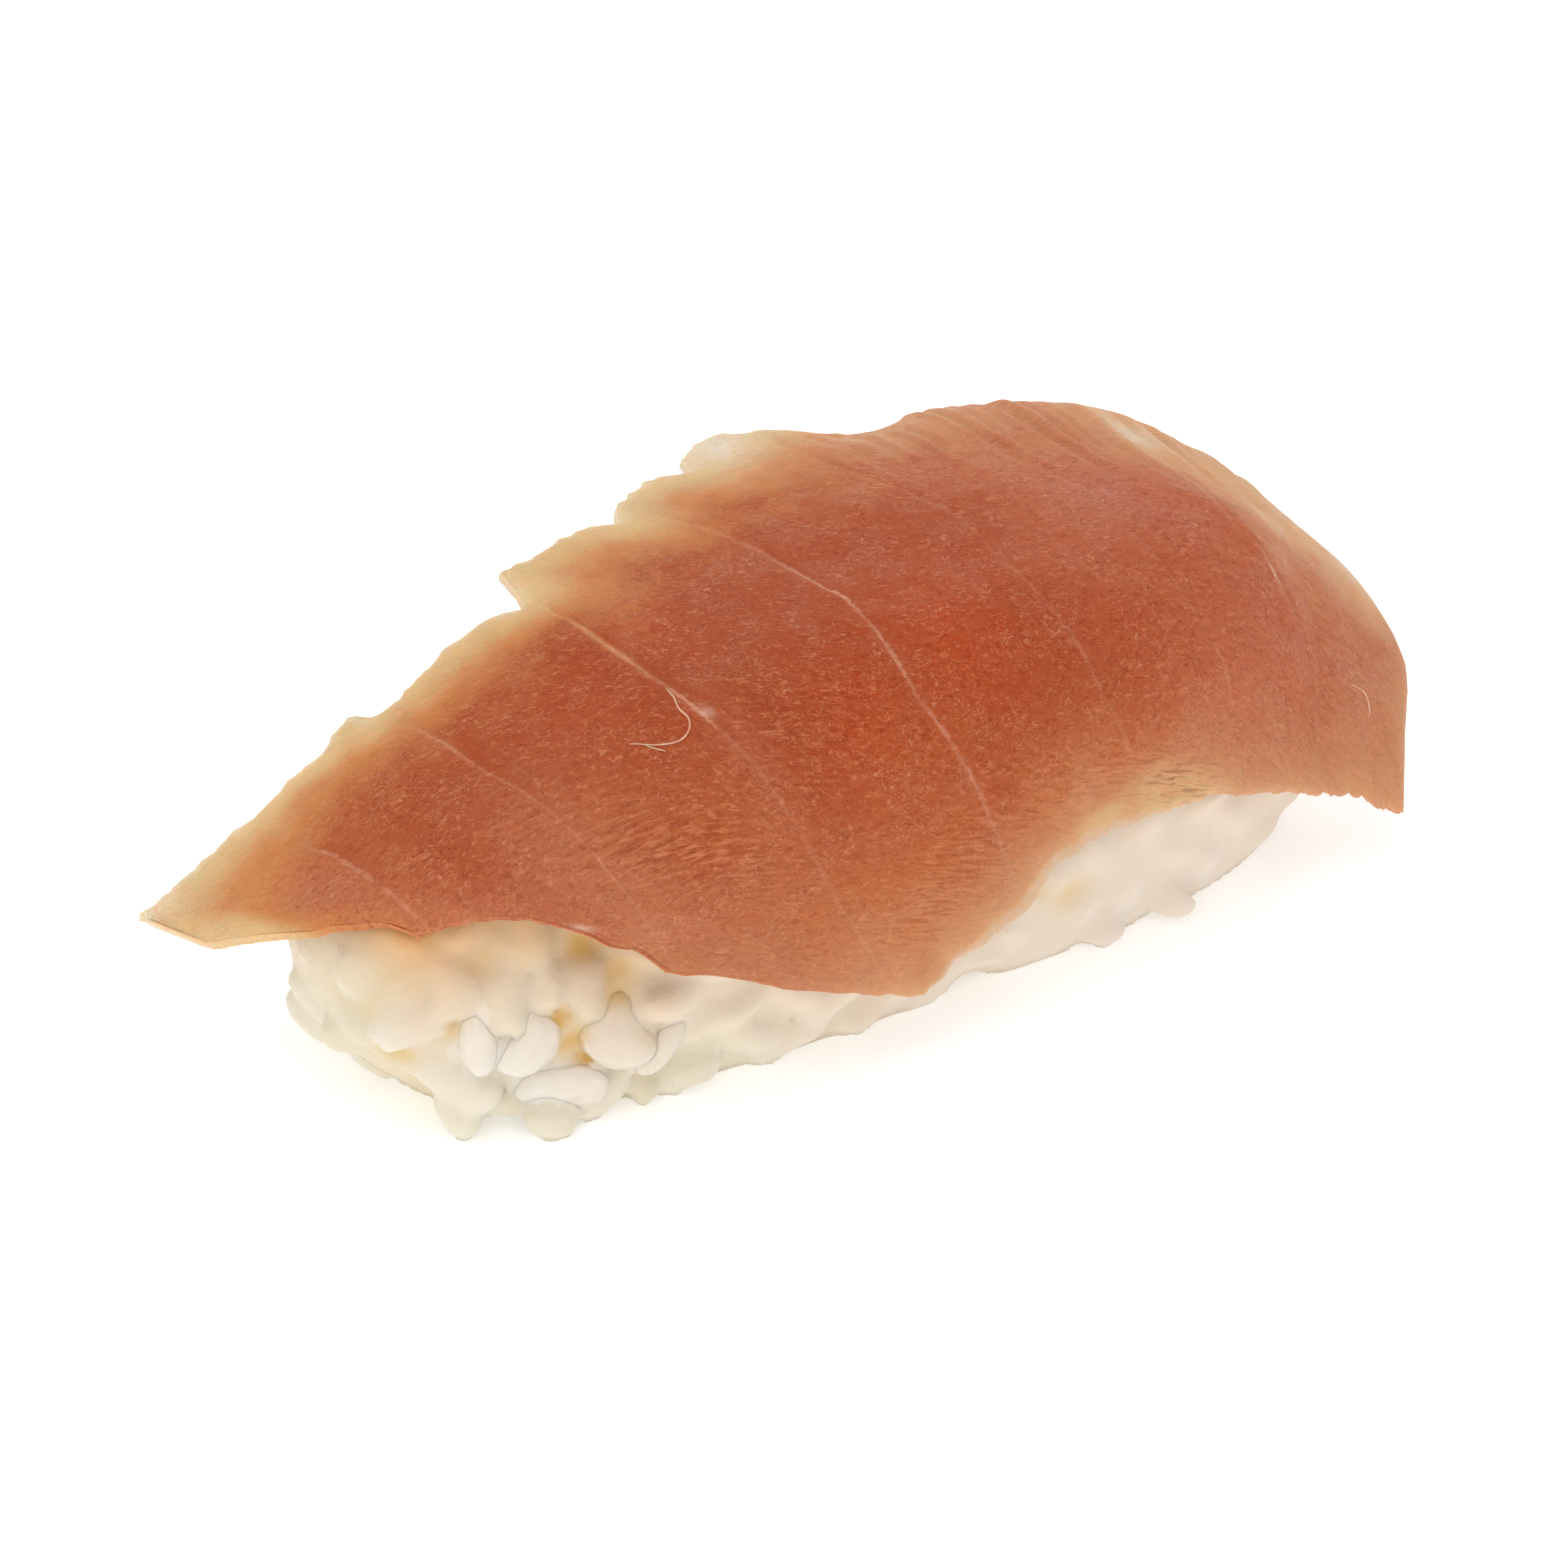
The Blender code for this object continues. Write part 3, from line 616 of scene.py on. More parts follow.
def sinewField(places, shares):
    # For every grid point: its place counted from the nearest sinew's line, and that sinew's looks.
    looks = {name: np.zeros(shares.shape) for name in ("line", "clear", "broad", "dark")}
    nearest = np.clip(np.round(places), 1, len(sinewLines))
    for number, sinew in enumerate(sinewLines, 1):
        mine = nearest == number
        for name, points in sinew.items():
            looks[name][mine] = profile(points, shares[mine])
    linePlace = places[:, None] - looks["line"]
    beyond = (linePlace < 0.5) | (linePlace > len(sinewLines) + 0.5)
    looks["clear"][beyond] = 0.0
    looks["dark"][beyond] = 0.0
    return linePlace, looks


def edgeMargins(places, uneven, far, near, end, tip):
    # How pale and how rosy the flesh is, from its distances to the four edges.
    def along(name):
        return profile(margins[name], places)[:, None]

    nearMargin = along("nearStrength") * np.exp(-near / (along("nearReach") * uneven))
    nearMargin = np.minimum(nearMargin, margins["nearMost"])
    towardTip = smooth(margins["tipEnd"] - places)[:, None]
    farReach = along("farReach") * uneven
    margin = np.maximum(along("farStrength") * np.exp(-far / farReach), nearMargin * towardTip)
    margin = np.maximum(margin, np.exp(-tip / farReach))
    rosyReach = along("rosyReach") * (1.0 + (uneven - 1.0) * (1.0 - 0.5 * smooth(places - 5.5)[:, None]))
    rosy = along("rosyStrength") * np.exp(-((far / rosyReach) ** along("rosyPower")))
    rosy = np.maximum(rosy, nearMargin * (1.0 - towardTip))
    rosy = np.maximum(rosy, margins["endStrength"] * np.exp(-end / (margins["endReach"] * uneven)))
    return margin, rosy


def sliceShape():
    # Top and underside of the slice as two grids of points, and what the flesh needs to know there.
    last = len(sliceSizes["sinewEnds"]) - 1
    places = np.linspace(0.0, last, sliceSizes["columnsPerSinew"] * last + 1)
    shares = np.linspace(0.0, 1.0, sliceSizes["rows"])
    crowding = sliceSizes["crowding"]
    shares = crowding * (0.5 - 0.5 * np.cos(np.pi * shares)) + (1.0 - crowding) * shares
    x, across, share = flatPlace(places, shares)
    placeGrid = np.broadcast_to(places[:, None], x.shape)
    borders = (np.s_[:, 0], np.s_[:, -1], np.s_[-1], np.s_[0])
    far, near, end, tip = (nearestDistance(x, across, x[border], across[border]) for border in borders)
    edge = np.minimum.reduce((far, near, end, tip))
    edgeThickness = sliceSizes["edgeThickness"]
    thicker = smooth(edge / sliceSizes["taper"]) ** sliceSizes["taperPower"]
    thickness = (sliceSizes["thickness"] - edgeThickness) * thicker
    surface = drape(x, across)
    normals = drapeNormals(x, across)
    underside = surface - normals * (edgeThickness + thickness)[:, :, None]

    linePlace, sinews = sinewField(places, share)
    spacing = np.hypot(np.gradient(x, axis=0), np.gradient(across, axis=0)) / np.gradient(places)[:, None]
    fromLine = (linePlace - np.round(linePlace)) * spacing
    height, sizeAlong, sizeAcross = sliceSizes["swell"]
    bend, bendSize = sliceSizes["swellBend"]
    swell = height * np.sin(x / sizeAlong + bend * np.sin(across / bendSize)) * np.sin(across / sizeAcross)
    ripple = mixedWaves(x, across, sliceSizes["ripples"])
    least, more = sliceSizes["grooveDepth"]
    groove = (least + more * sinews["clear"]) * np.exp(-((fromLine / sliceSizes["grooveWidth"]) ** 2))
    # the flesh left of a sinew lies a little over the flesh right of it
    step, reach, start = sliceSizes["overlap"]
    strength = np.maximum(sinews["dark"], sliceSizes["clearOverlap"] * sinews["clear"])
    overlap = step * strength * np.where(fromLine < 0.0, 1.0, -1.0)
    overlap = overlap * np.exp(-np.abs(fromLine) / reach) * smooth(np.abs(fromLine) / start)
    scallops = mixedWaves(placeGrid * sliceSizes["sinewSpacing"], 0.1 * x, (sliceSizes["scallops"],))
    scallops = scallops * smooth(placeGrid - sliceSizes["scallopStart"])
    scallops = scallops * smooth(2.2 - far / 6.0)  # full to 7 mm from the far edge, none past 13 mm
    hollows = spotMask(sliceSizes["hollows"], placeGrid, share)
    relief = swell + ripple - groove + overlap + scallops - hollows
    relief = ramp(edge, *sliceSizes["reliefStart"]) * relief
    rounding = np.clip(1.0 - edge / sliceSizes["rimRounding"], 0.0, 1.0)
    rimDrop = (edgeThickness - sliceSizes["rimThickness"]) * (1.0 - np.sqrt(1.0 - rounding**2))
    top = surface + normals * (relief - rimDrop)[:, :, None]

    uneven = mixedWaves(x, across, margins["unevenness"], 1.0)
    margin, rosy = edgeMargins(places, uneven, far, near, end, tip)
    fields = {name: spotMask(spots, placeGrid, share) for name, spots in fleshSpots.items()}
    fields.update({
        "margin": margin,
        "rosy": rosy,
        "pale": np.broadcast_to(ramp(-places, *sliceSizes["paleStart"])[:, None], x.shape),
        "linePlace": linePlace,
        "lineSpacing": spacing,
        "lineClear": sinews["clear"],
        "lineDark": sinews["dark"],
        "lineBroad": sinews["broad"],
    })
    return top, underside, normals, np.stack((x, across, 0.0 * x), -1), fields


def borderPairs(columns, rows):
    border = [(i, 0) for i in range(columns - 1)]
    border += [(columns - 1, j) for j in range(rows - 1)]
    border += [(i, rows - 1) for i in range(columns - 1, 0, -1)]
    border += [(0, j) for j in range(rows - 1, 0, -1)]
    return border


def buildSlice(material):
    top, underside, normals, flat, fields = sliceShape()
    columns, rows = top.shape[:2]
    count = columns * rows
    border = borderPairs(columns, rows)
    borderIndex = [i * rows + j for i, j in border]
    # the rim: two lines outside the top and underside, half way round
    outward = np.zeros_like(top)
    outward[:, 0] += top[:, 0] - top[:, 1]
    outward[:, -1] += top[:, -1] - top[:, -2]
    outward[0] += top[0] - top[1]
    outward[-1] += top[-1] - top[-2]
    outward = unit(outward - normals * np.sum(outward * normals, axis=-1, keepdims=True))
    topLine = top.reshape(-1, 3)[borderIndex]
    lowLine = underside.reshape(-1, 3)[borderIndex]
    outLine = outward.reshape(-1, 3)[borderIndex] * sliceSizes["rimOut"]
    more, less = sliceSizes["rimShares"]
    rimUpper = topLine * more + lowLine * less + outLine
    rimLower = topLine * less + lowLine * more + outLine
    points = np.concatenate((top.reshape(-1, 3), underside.reshape(-1, 3), rimUpper, rimLower))
    faces = []
    for i in range(columns - 1):
        for j in range(rows - 1):
            a = i * rows + j
            b = a + rows
            faces.append((a, a + 1, b + 1, b))
            faces.append((count + a, count + b, count + b + 1, count + a + 1))
    total = len(border)
    upperStart = 2 * count
    lowerStart = 2 * count + total
    for here in range(total):
        there = (here + 1) % total
        a, b = borderIndex[here], borderIndex[there]
        faces.append((a, b, upperStart + there, upperStart + here))
        faces.append((upperStart + here, upperStart + there, lowerStart + there, lowerStart + here))
        faces.append((lowerStart + here, lowerStart + there, count + b, count + a))
    data = makeMesh("tunaSlice", points, faces)
    everywhere = list(range(count)) * 2 + borderIndex * 2
    for name, field in fields.items():
        setAttribute(data, name, field.reshape(-1)[everywhere])
    setAttribute(data, "flat", flat.reshape(-1, 3)[everywhere])
    piece = makePiece("tunaSlice", data)
    data.materials.append(material)
    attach(piece, "root")
    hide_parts("tuna_slice")
    return piece


fleshLooks = {
    "flesh": (165, 71, 30),
    "rightFlesh": (181, 91, 55),
    "pale": (196, 122, 70),
    # a pale haze, partly painted sheen
    "haze": (182, 99, 68),
    # a mauve bloom, partly painted sheen
    "mauveAndSheen": (184, 112, 98),
    "deep": (181, 72, 25),
    "gold": (196, 109, 50),
    # deeper flesh and painted shade beside a sinew line
    "deepAndShadedBesideLine": (166, 66, 18),
    "line": (220, 156, 126),
    "innerMargin": (204, 134, 80),
    "outerMargin": (218, 181, 130),
    "edge": (230, 206, 168),
    "rosy": (214, 163, 119),
    "rosyEdge": (216, 196, 174),
    "scrap": (234, 218, 194),
    # pale flecks, and painted highlight on ridges and crests
    "fleckAndRidgeLight": (216, 142, 98),
    # painted shade in grooves
    "shadow": (146, 54, 18),
    "roughness": (0.4, 0.56),
    "sockets": {
        "Subsurface Weight": 1.0,
        "Subsurface Radius": (1.0, 0.35, 0.16),
        "Subsurface Scale": 0.3 * mm,
        "Specular IOR Level": 0.14,
    },
}


def fleshMaterial(streaks, mottle):
    material, tree, shader = newMaterial("rawTuna", fleshLooks["sockets"])
    flat = readAttribute(tree, "flat", "Vector")

    def read(name):
        return readAttribute(tree, name)

    def both(first, second, clamp=False):
        return times(tree, first, second, clamp)

    def ease(*values):
        return between(tree, *values)

    def less(first, second):
        return calculate(tree, "SUBTRACT", first, second)

    def pattern(group, **values):
        return useGroup(tree, group, place=flat, **values)

    # fine crinkles, which turn across the slice from left to right; their shaded grooves and lit crests are
    # painted into the colour as well as bumped
    turn = ease(addNode(tree, "ShaderNodeSeparateXYZ", {0: flat}).outputs["X"], -28.0, 4.0, 0.6, 0.35)
    crinkles = pattern(streaks, angle=turn, streakLength=0.5, streakWidth=0.27, distortion=1.3)
    folds = pattern(streaks, angle=turn, streakLength=0.8, streakWidth=0.55, detail=1.0, distortion=1.8)
    wrinkles = pattern(streaks, angle=0.3, streakLength=1.5, streakWidth=0.22, detail=1.0, distortion=0.6)
    combs = pattern(streaks, angle=0.95, streakLength=1.3, streakWidth=0.22, detail=1.0)
    blotches = pattern(mottle, blotchSize=5.0, low=0.32, high=0.68)
    grains = pattern(mottle, blotchSize=0.5, low=0.42, high=0.62)
    paintedGlints = pattern(mottle, blotchSize=0.34, detail=1.0, low=0.62, high=0.74)
    patches = pattern(mottle, blotchSize=3.0, detail=1.0, low=0.4, high=0.62)
    ridges = ease(calculate(tree, "ABSOLUTE", less(folds, 0.5)), 0.04, 0.0)
    ridges = both(ridges, ease(patches, 0.0, 1.0, 0.35, 1.0))
    wrinkled = read("wrinkled")

    # sinews: a thin pale line, and beside it on the right darker flesh, partly deeper colour and partly
    # painted shade where that flesh lies lower
    linePlace = read("linePlace")
    fromLine = both(less(linePlace, calculate(tree, "ROUND", linePlace)), read("lineSpacing"))
    beside = both(ease(fromLine, 0.05, 0.3), ease(fromLine, 1.5, 0.3))
    shaken = calculate(tree, "ADD", fromLine, both(less(grains, 0.5), 0.12))
    wide = calculate(tree, "ABSOLUTE", shaken)
    clear = both(read("lineClear"), ease(blotches, 0.0, 0.9, 0.45, 1.1))
    line = both(ease(wide, 0.22, 0.04), clear)

    # the thin edges fade to cream
    uneven = both(less(crinkles, 0.5), 0.14)
    rosy = read("rosy")
    rosy = calculate(tree, "ADD", rosy, both(uneven, ease(rosy, 0.0, 0.2)))
    margin = calculate(tree, "ADD", read("margin"), uneven)

    colour = layColours(tree, fleshLooks, linear(*fleshLooks["flesh"]), (
        ("pale", read("pale"), 1.0),
        ("rightFlesh", ease(linePlace, 4.3, 6.4), 1.0),
        ("deep", read("deep"), 0.9),
        ("gold", read("gold"), 0.75),
        # pale haze, partly painted sheen on the upper right, and in soft blotches
        ("haze", read("haze"), 0.85),
        ("haze", blotches, 0.1),
        # mauve bloom, partly painted sheen, broken up by the crinkles
        ("mauveAndSheen", both(read("mauveAndSheen"), ease(crinkles, 0.3, 0.65, 0.45, 1.0)), 0.7),
        # painted shade in the crinkles' grooves, painted highlight on their crests and on the fold ridges
        ("shadow", ease(crinkles, 0.47, 0.32), 0.6),
        ("fleckAndRidgeLight", ease(crinkles, 0.56, 0.7), 0.42),
        ("fleckAndRidgeLight", ridges, 0.5),
        # painted glints: small pale spots in the line colour
        ("line", both(paintedGlints, patches), 0.5),
        # beside the line on the right: deeper flesh and painted shade where the flesh lies lower
        ("deepAndShadedBesideLine", both(beside, read("lineDark")), 0.7),
        # the pale haze colour, partly painted sheen, softly beside the sinew lines
        ("haze", both(ease(wide, 0.8, 0.0), clear), 0.5),
        ("innerMargin", both(read("lineBroad"), ease(wide, 0.6, 0.2)), 0.9),
        ("line", both(line, ease(crinkles, 0.3, 0.6, 0.5, 1.0)), 0.85),
        ("rosy", calculate(tree, "MINIMUM", rosy, 1.0), 1.0),
        ("rosyEdge", ease(rosy, 0.9, 1.2), 0.9),
        ("outerMargin", ease(read("cream"), 0.0, 0.8), 0.65),
        # level ripples: painted shade in the grooves, painted highlight on the crests
        ("shadow", both(wrinkled, ease(wrinkles, 0.48, 0.36)), 0.5),
        ("fleckAndRidgeLight", both(wrinkled, ease(wrinkles, 0.52, 0.64)), 0.5),
        ("fleckAndRidgeLight", both(read("combed"), ease(combs, 0.5, 0.66)), 0.55),
        ("innerMargin", ease(margin, 0.06, 0.42), 0.95),
        ("outerMargin", ease(margin, 0.3, 0.74), 1.0),
        ("edge", ease(margin, 0.72, 1.0), 0.9),
        ("scrap", both(read("scrap"), ease(crinkles, 0.3, 0.6, 0.6, 1.0), True), 1.0),
    ))
    tree.links.new(colour, shader.inputs["Base Color"])
    low, high = fleshLooks["roughness"]
    tree.links.new(ease(patches, 0.0, 1.0, high, low), shader.inputs["Roughness"])
    height = calculate(tree, "ADD", crinkles, both(ridges, 0.25))
    height = calculate(tree, "ADD", height, both(wrinkles, wrinkled))
    addBump(tree, shader, height, 0.24, 0.8)
    return material


# Threads of sinew that lie on the slice: places and shares along each, and its thickness.
threads = {
    "colours": ((208, 142, 114), (224, 172, 148)),
    "sockets": {
        "Roughness": 0.4,
        "Subsurface Weight": 1.0,
        "Subsurface Radius": (1.0, 0.5, 0.3),
        "Subsurface Scale": 0.3 * mm,
    },
    "sides": 8,
    "rise": 0.6,  # how far a thread's middle stands over the flesh, as a share of its radius
    "endRadius": 0.25,  # at the ends, as a share of the full one
    "paths": (
        ((
            (2.83, 0.435), (2.8, 0.462), (2.775, 0.485), (2.77, 0.508), (2.73, 0.53), (2.67, 0.545),
            (2.6, 0.545), (2.52, 0.53),
        ), 0.065),
        (((2.56, 0.54), (2.58, 0.552), (2.6, 0.56)), 0.05),
        (((7.7, 0.752), (7.78, 0.753), (7.85, 0.757), (7.88, 0.77), (7.885, 0.787), (7.87, 0.805)), 0.06),
    ),
}


def threadMaterial(mottle):
    material, tree, shader = newMaterial("sinewThread", threads["sockets"])
    blotches = useGroup(tree, mottle, place=objectPlace(tree), blotchSize=0.8)
    dark, pale = (linear(*colour) for colour in threads["colours"])
    tree.links.new(blendColours(tree, blotches, dark, pale), shader.inputs["Base Color"])
    addBump(tree, shader, blotches, 0.03, 0.5)
    return material


def threadRoute(path, sliceTree):
    # Points on the slice along a thread, and the directions up from it.
    steps = np.linspace(0.0, len(path) - 1.0, 8 * len(path))
    for place, share in throughPoints(path, steps):
        farX, farAcross, nearX, nearAcross = throughPoints(sliceSizes["sinewEnds"], np.array([place]))[0]
        x = farX + (nearX - farX) * share - sliceSizes["sinewBow"] * math.sin(math.pi * share)
        above = Vector(drape(x, farAcross + (nearAcross - farAcross) * share)) * mm
        hit, normal, _, _ = sliceTree.find_nearest(above)
        yield np.array(hit) / mm, np.array(normal)


def buildThreads(material, sliceTree):
    points = []
    faces = []
    sides = threads["sides"]
    for path, fullRadius in threads["paths"]:
        route = list(threadRoute(path, sliceTree))
        last = len(route) - 1
        start = len(points)
        for k, (centre, normal) in enumerate(route):
            ahead = route[min(k + 1, last)][0] - route[max(k - 1, 0)][0]
            side = unit(np.cross(unit(ahead), normal))
            tapered = math.sin(math.pi * min(max(k / last, 0.04), 0.96)) ** 0.5
            radius = fullRadius * (threads["endRadius"] + (1.0 - threads["endRadius"]) * tapered)
            for m in range(sides):
                angle = math.tau * m / sides
                upwards = normal * radius * (threads["rise"] + math.sin(angle))
                points.append(centre + upwards + side * radius * math.cos(angle))
        for k in range(last):
            for m in range(sides):
                a = start + k * sides + m
                b = start + k * sides + (m + 1) % sides
                faces.append((a, a + sides, b + sides, b))
        faces.append(tuple(start + m for m in range(sides)))
        faces.append(tuple(start + last * sides + m for m in reversed(range(sides))))
    data = makeMesh("sinewThreads", np.array(points), faces)
    piece = makePiece("sinewThreads", data)
    data.materials.append(material)
    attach(piece, "root")
    return piece


# The pad of rice
riceSizes = {
    # height, middle, half length, half width of the bare core
    "rings": (
        (0.0, 1.8, 30.0, 10.0),
        (3.5, 1.2, 32.4, 11.0),
        (8.0, 0.5, 33.6, 11.5),
        (12.5, 0.0, 32.9, 10.4),
        (16.0, 0.0, 30.6, 9.8),
        (19.0, 0.0, 27.4, 8.2),
        (21.3, 0.0, 23.6, 5.6),
        (22.3, 0.0, 18.0, 3.0),
    ),
    "cornerPower": 3.0,
    "levels": 84,
    "sides": 300,
    "coreGap": 0.9,  # how far the bare core keeps below the slice
    "roofStart": 6.0,  # it does so above this height
    "middleHeight": 8.0,  # what the hollows are pushed in towards
    "grainLength": 5.6,
    "grainWidth": 2.7,
    "grainThickness": 2.35,
    "grainScale": (0.86, 1.1),
    "nearSide": 5.0,  # the near side starts this far from the middle
    "leftSink": (29.0, 3.5, 0.8),  # how far left, over what length and how much the grains sink
    "rightSink": (0.0, 8.0, 0.6),  # the same rightwards, on the near side
    "layers": ((0.35, 2.45, 330), (-0.35, 2.0, 330)),  # height over the core, spacing, how many
    # share of the outer grains that lie loose on the paste, at x from left to right
    "loose": ((-36.0, 0.5), (-14.0, 0.45), (-4.0, 0.2), (36.0, 0.2)),
    "pasteDepth": 0.6,  # how far the paste rises between the grains
    "voxel": 0.33,
    "smoothings": 9,
    "smoothingStep": 0.6,
    # how much of that smoothing the paste gets, at x from left to right
    "smoothness": ((-34.0, 0.7), (-30.5, 0.6), (-28.5, 0.45), (-14.0, 0.5), (0.0, 1.0), (34.0, 1.4)),
    # the near foot and these places get no grains by chance: middle, reach
    "bareFoot": (1.8, -8.0),  # below this height, nearer than this
    "barePlaces": (
        (-30.8, -4.5, 2.0, 3.4), (-27.5, -6.5, 1.0, 2.5), (-32.5, 7.0, 1.5, 3.6), (31.5, -5.0, 1.0, 2.6),
    ),
    "looseWhiteness": 0.7,  # grains that show and are whiter than this are loose
    "chanceWhiteness": (0.2, 0.7),
    "chanceTilt": 0.4,
    "tries": 16000,  # for each layer
    "sinks": (0.0, 0.6, 1.2),  # how much lower a grain is tried where it doesn't fit
    "floorGap": 0.05,
    "mostLift": 1.6,  # a grain that the floor would lift further is left out
    "looseLift": 0.1,  # how far a loose grain stands out of its print in the paste
    "gapDepth": 0.45,
    "footFlat": 0.3,  # paste below this height lies flat on the ground
    "grainGap": 0.1,  # between the grains and the slice
    "pasteGap": 0.15,  # between the paste and the slice
    "hiddenReach": 7.0,  # how far out a slice that hides a grain may be
    "openness": (0.1, 1.2),  # how far over the bare core the paste begins to look open, over what length
    "sliceShadingReach": 4.0,  # how far the painted shade and reflected colour under the slice reach into the rice
    "seed": 7,
}

grainSides = ("grainThickness", "grainWidth", "grainLength")

# Grains that show most: middle, tilt on screen in degrees, length, width, thickness, whiteness
shownGrains = (
    (-27.5, -9.3, 8.0, 97.0, 4.6, 2.3, 2.2, 1.0),
    (-24.7, -10.2, 7.1, 62.0, 4.4, 3.2, 2.4, 0.95),
    (-22.5, -9.9, 2.9, -9.0, 5.6, 3.7, 2.5, 1.0),
    (-28.5, -7.6, 4.3, -52.0, 6.4, 4.2, 3.0, 0.6),
    (-28.6, -7.9, 1.2, -75.0, 3.8, 3.0, 2.4, 0.45),
    (-23.7, -10.8, 1.1, -8.0, 3.4, 2.4, 2.0, 0.4),
    (-26.1, -8.2, 1.8, -20.0, 3.4, 2.4, 2.2, 0.3),
    (-20.1, -10.4, 1.6, 55.0, 4.2, 2.5, 2.2, 0.5),
    (-32.3, 3.0, 3.4, -40.0, 4.4, 2.8, 2.4, 0.5),
    (-19.3, -11.0, 6.5, -62.0, 5.3, 4.0, 2.4, 0.85),
    (-16.5, -11.2, 4.6, 62.0, 4.4, 2.3, 2.2, 0.75),
    (-30.8, -7.4, 8.6, 22.0, 5.0, 2.6, 2.3, 0.65),
    (-28.6, -8.5, 11.2, 90.0, 3.8, 3.0, 2.2, 0.55),
    (-25.7, -9.6, 10.3, 90.0, 4.6, 2.7, 2.2, 0.5),
    (-23.2, -10.1, 10.6, 88.0, 3.4, 2.0, 1.9, 0.5),
    (-20.9, -10.5, 10.2, 93.0, 4.6, 2.5, 2.0, 0.45),
    (-31.9, -3.0, 5.6, 18.0, 5.6, 3.2, 2.4, 0.2),
    (-32.4, 1.7, 5.4, -30.0, 5.0, 2.8, 2.2, 0.5),
    (-32.5, -4.2, 8.6, 70.0, 5.0, 3.0, 2.2, 0.2),
    (-32.8, -1.0, 9.2, 100.0, 4.6, 2.6, 2.1, 0.4),
    (-32.0, -4.7, 11.8, 30.0, 5.0, 3.2, 2.2, 0.3),
    (-17.5, -10.4, 1.4, -60.0, 2.8, 1.8, 1.7, 0.1),
    (-14.4, -10.9, 1.3, 15.0, 4.6, 2.4, 2.2, 0.4),
    (-7.6, -11.0, 1.3, 22.0, 5.4, 2.6, 2.3, 0.4),
    (-2.5, -11.0, 1.2, 32.0, 3.4, 2.3, 2.2, 0.3),
    (10.0, -10.1, 1.3, 12.0, 6.2, 2.5, 2.2, 0.5),
    (11.4, -11.3, 7.5, 95.0, 3.0, 2.6, 1.9, 0.68),
    (15.1, -10.7, 1.2, -55.0, 3.4, 3.0, 2.0, 0.5),
    (20.3, -11.0, 1.1, -45.0, 3.3, 2.6, 1.8, 0.5),
    (30.9, -4.9, 1.6, 90.0, 3.6, 2.5, 2.2, 0.5),
)

# Deep places between the grains, that stay open: middle, reach, depth of colour (a painted warm shade)
riceGaps = (
    (-22.9, -10.5, 8.2, 0.9, 1.0),
    (-22.0, -10.6, 6.3, 1.1, 0.8),
    (-21.0, -10.6, 4.7, 0.9, 1.0),
    (-18.9, -11.0, 10.6, 1.0, 0.8),
    (-19.2, -11.0, 9.0, 0.9, 0.7),
    (-20.8, -10.0, 12.7, 1.1, 1.0),
    (-29.0, -8.6, 8.7, 0.9, 0.6),
    (-31.3, -6.3, 6.2, 1.1, 0.6),
    (-30.0, -6.6, 3.0, 1.0, 0.8),
    (-27.2, -9.0, 12.6, 1.1, 0.3),
    (12.0, -11.4, 5.6, 1.3, 0.5),
    (10.0, -11.5, 6.4, 0.9, 0.4),
    (-31.6, -5.6, 8.9, 1.0, 0.25),
)

# Hollows in the foot, without a colour of their own
footHollows = (
    (-30.5, -5.6, 0.5, 3.0, 1.8),
    (-26.0, -9.9, 0.3, 1.2, 1.4),
    (6.0, -10.2, 0.6, 1.8, 1.8),
    (14.4, -10.3, 0.4, 1.2, 0.9),
    (20.2, -10.3, 0.4, 1.5, 0.9),
)


def corePoints(rings, angles):
    # Points of rounded rectangular rings: one row for each ring.
    height, middle, halfLength, halfWidth = (rings[:, k][:, None] for k in range(4))
    power = 2.0 / riceSizes["cornerPower"]
    cosines = np.cos(angles)[None, :]
    sines = np.sin(angles)[None, :]
    x = middle + halfLength * np.sign(cosines) * np.abs(cosines) ** power
    y = halfWidth * np.sign(sines) * np.abs(sines) ** power
    return np.stack(np.broadcast_arrays(x, y, height), -1)


def gridCross(grid):
    # Outward directions over a grid of points, as long as the area that each point stands for.
    alongSides = np.roll(grid, -1, axis=1) - np.roll(grid, 1, axis=1)
    return np.cross(alongSides, np.gradient(grid, axis=0))


def bareCore(undersideTree):
    # The core's wall as a grid of points, kept below the slice, and its outward directions.
    places = np.linspace(0.0, len(riceSizes["rings"]) - 1.0, riceSizes["levels"])
    rings = throughPoints(riceSizes["rings"], places)
    angles = np.arange(riceSizes["sides"]) * math.tau / riceSizes["sides"]
    # even steps along the wall, not in angle, which would crowd the corners
    fineAngles = np.linspace(0.0, math.tau, 4001)
    fine = corePoints(rings[len(rings) // 3][None, :], fineAngles)[0]
    walked = np.concatenate(([0.0], np.cumsum(np.linalg.norm(np.diff(fine, axis=0), axis=-1))))
    angles = np.interp(angles / math.tau * walked[-1], walked, fineAngles)
    grid = corePoints(rings, angles)
    grid[0, :, 2] = 0.0
    for point in grid.reshape(-1, 3):
        if point[2] < riceSizes["roofStart"]:
            continue
        below = Vector((point[0], point[1], -1.0)) * mm
        hit, normal, _, _ = undersideTree.ray_cast(below, Vector((0.0, 0.0, 1.0)))
        if hit is not None:
            point[2] = min(point[2], hit.z / mm - riceSizes["coreGap"] / max(abs(normal.z), 0.35))
    return grid, unit(gridCross(grid))


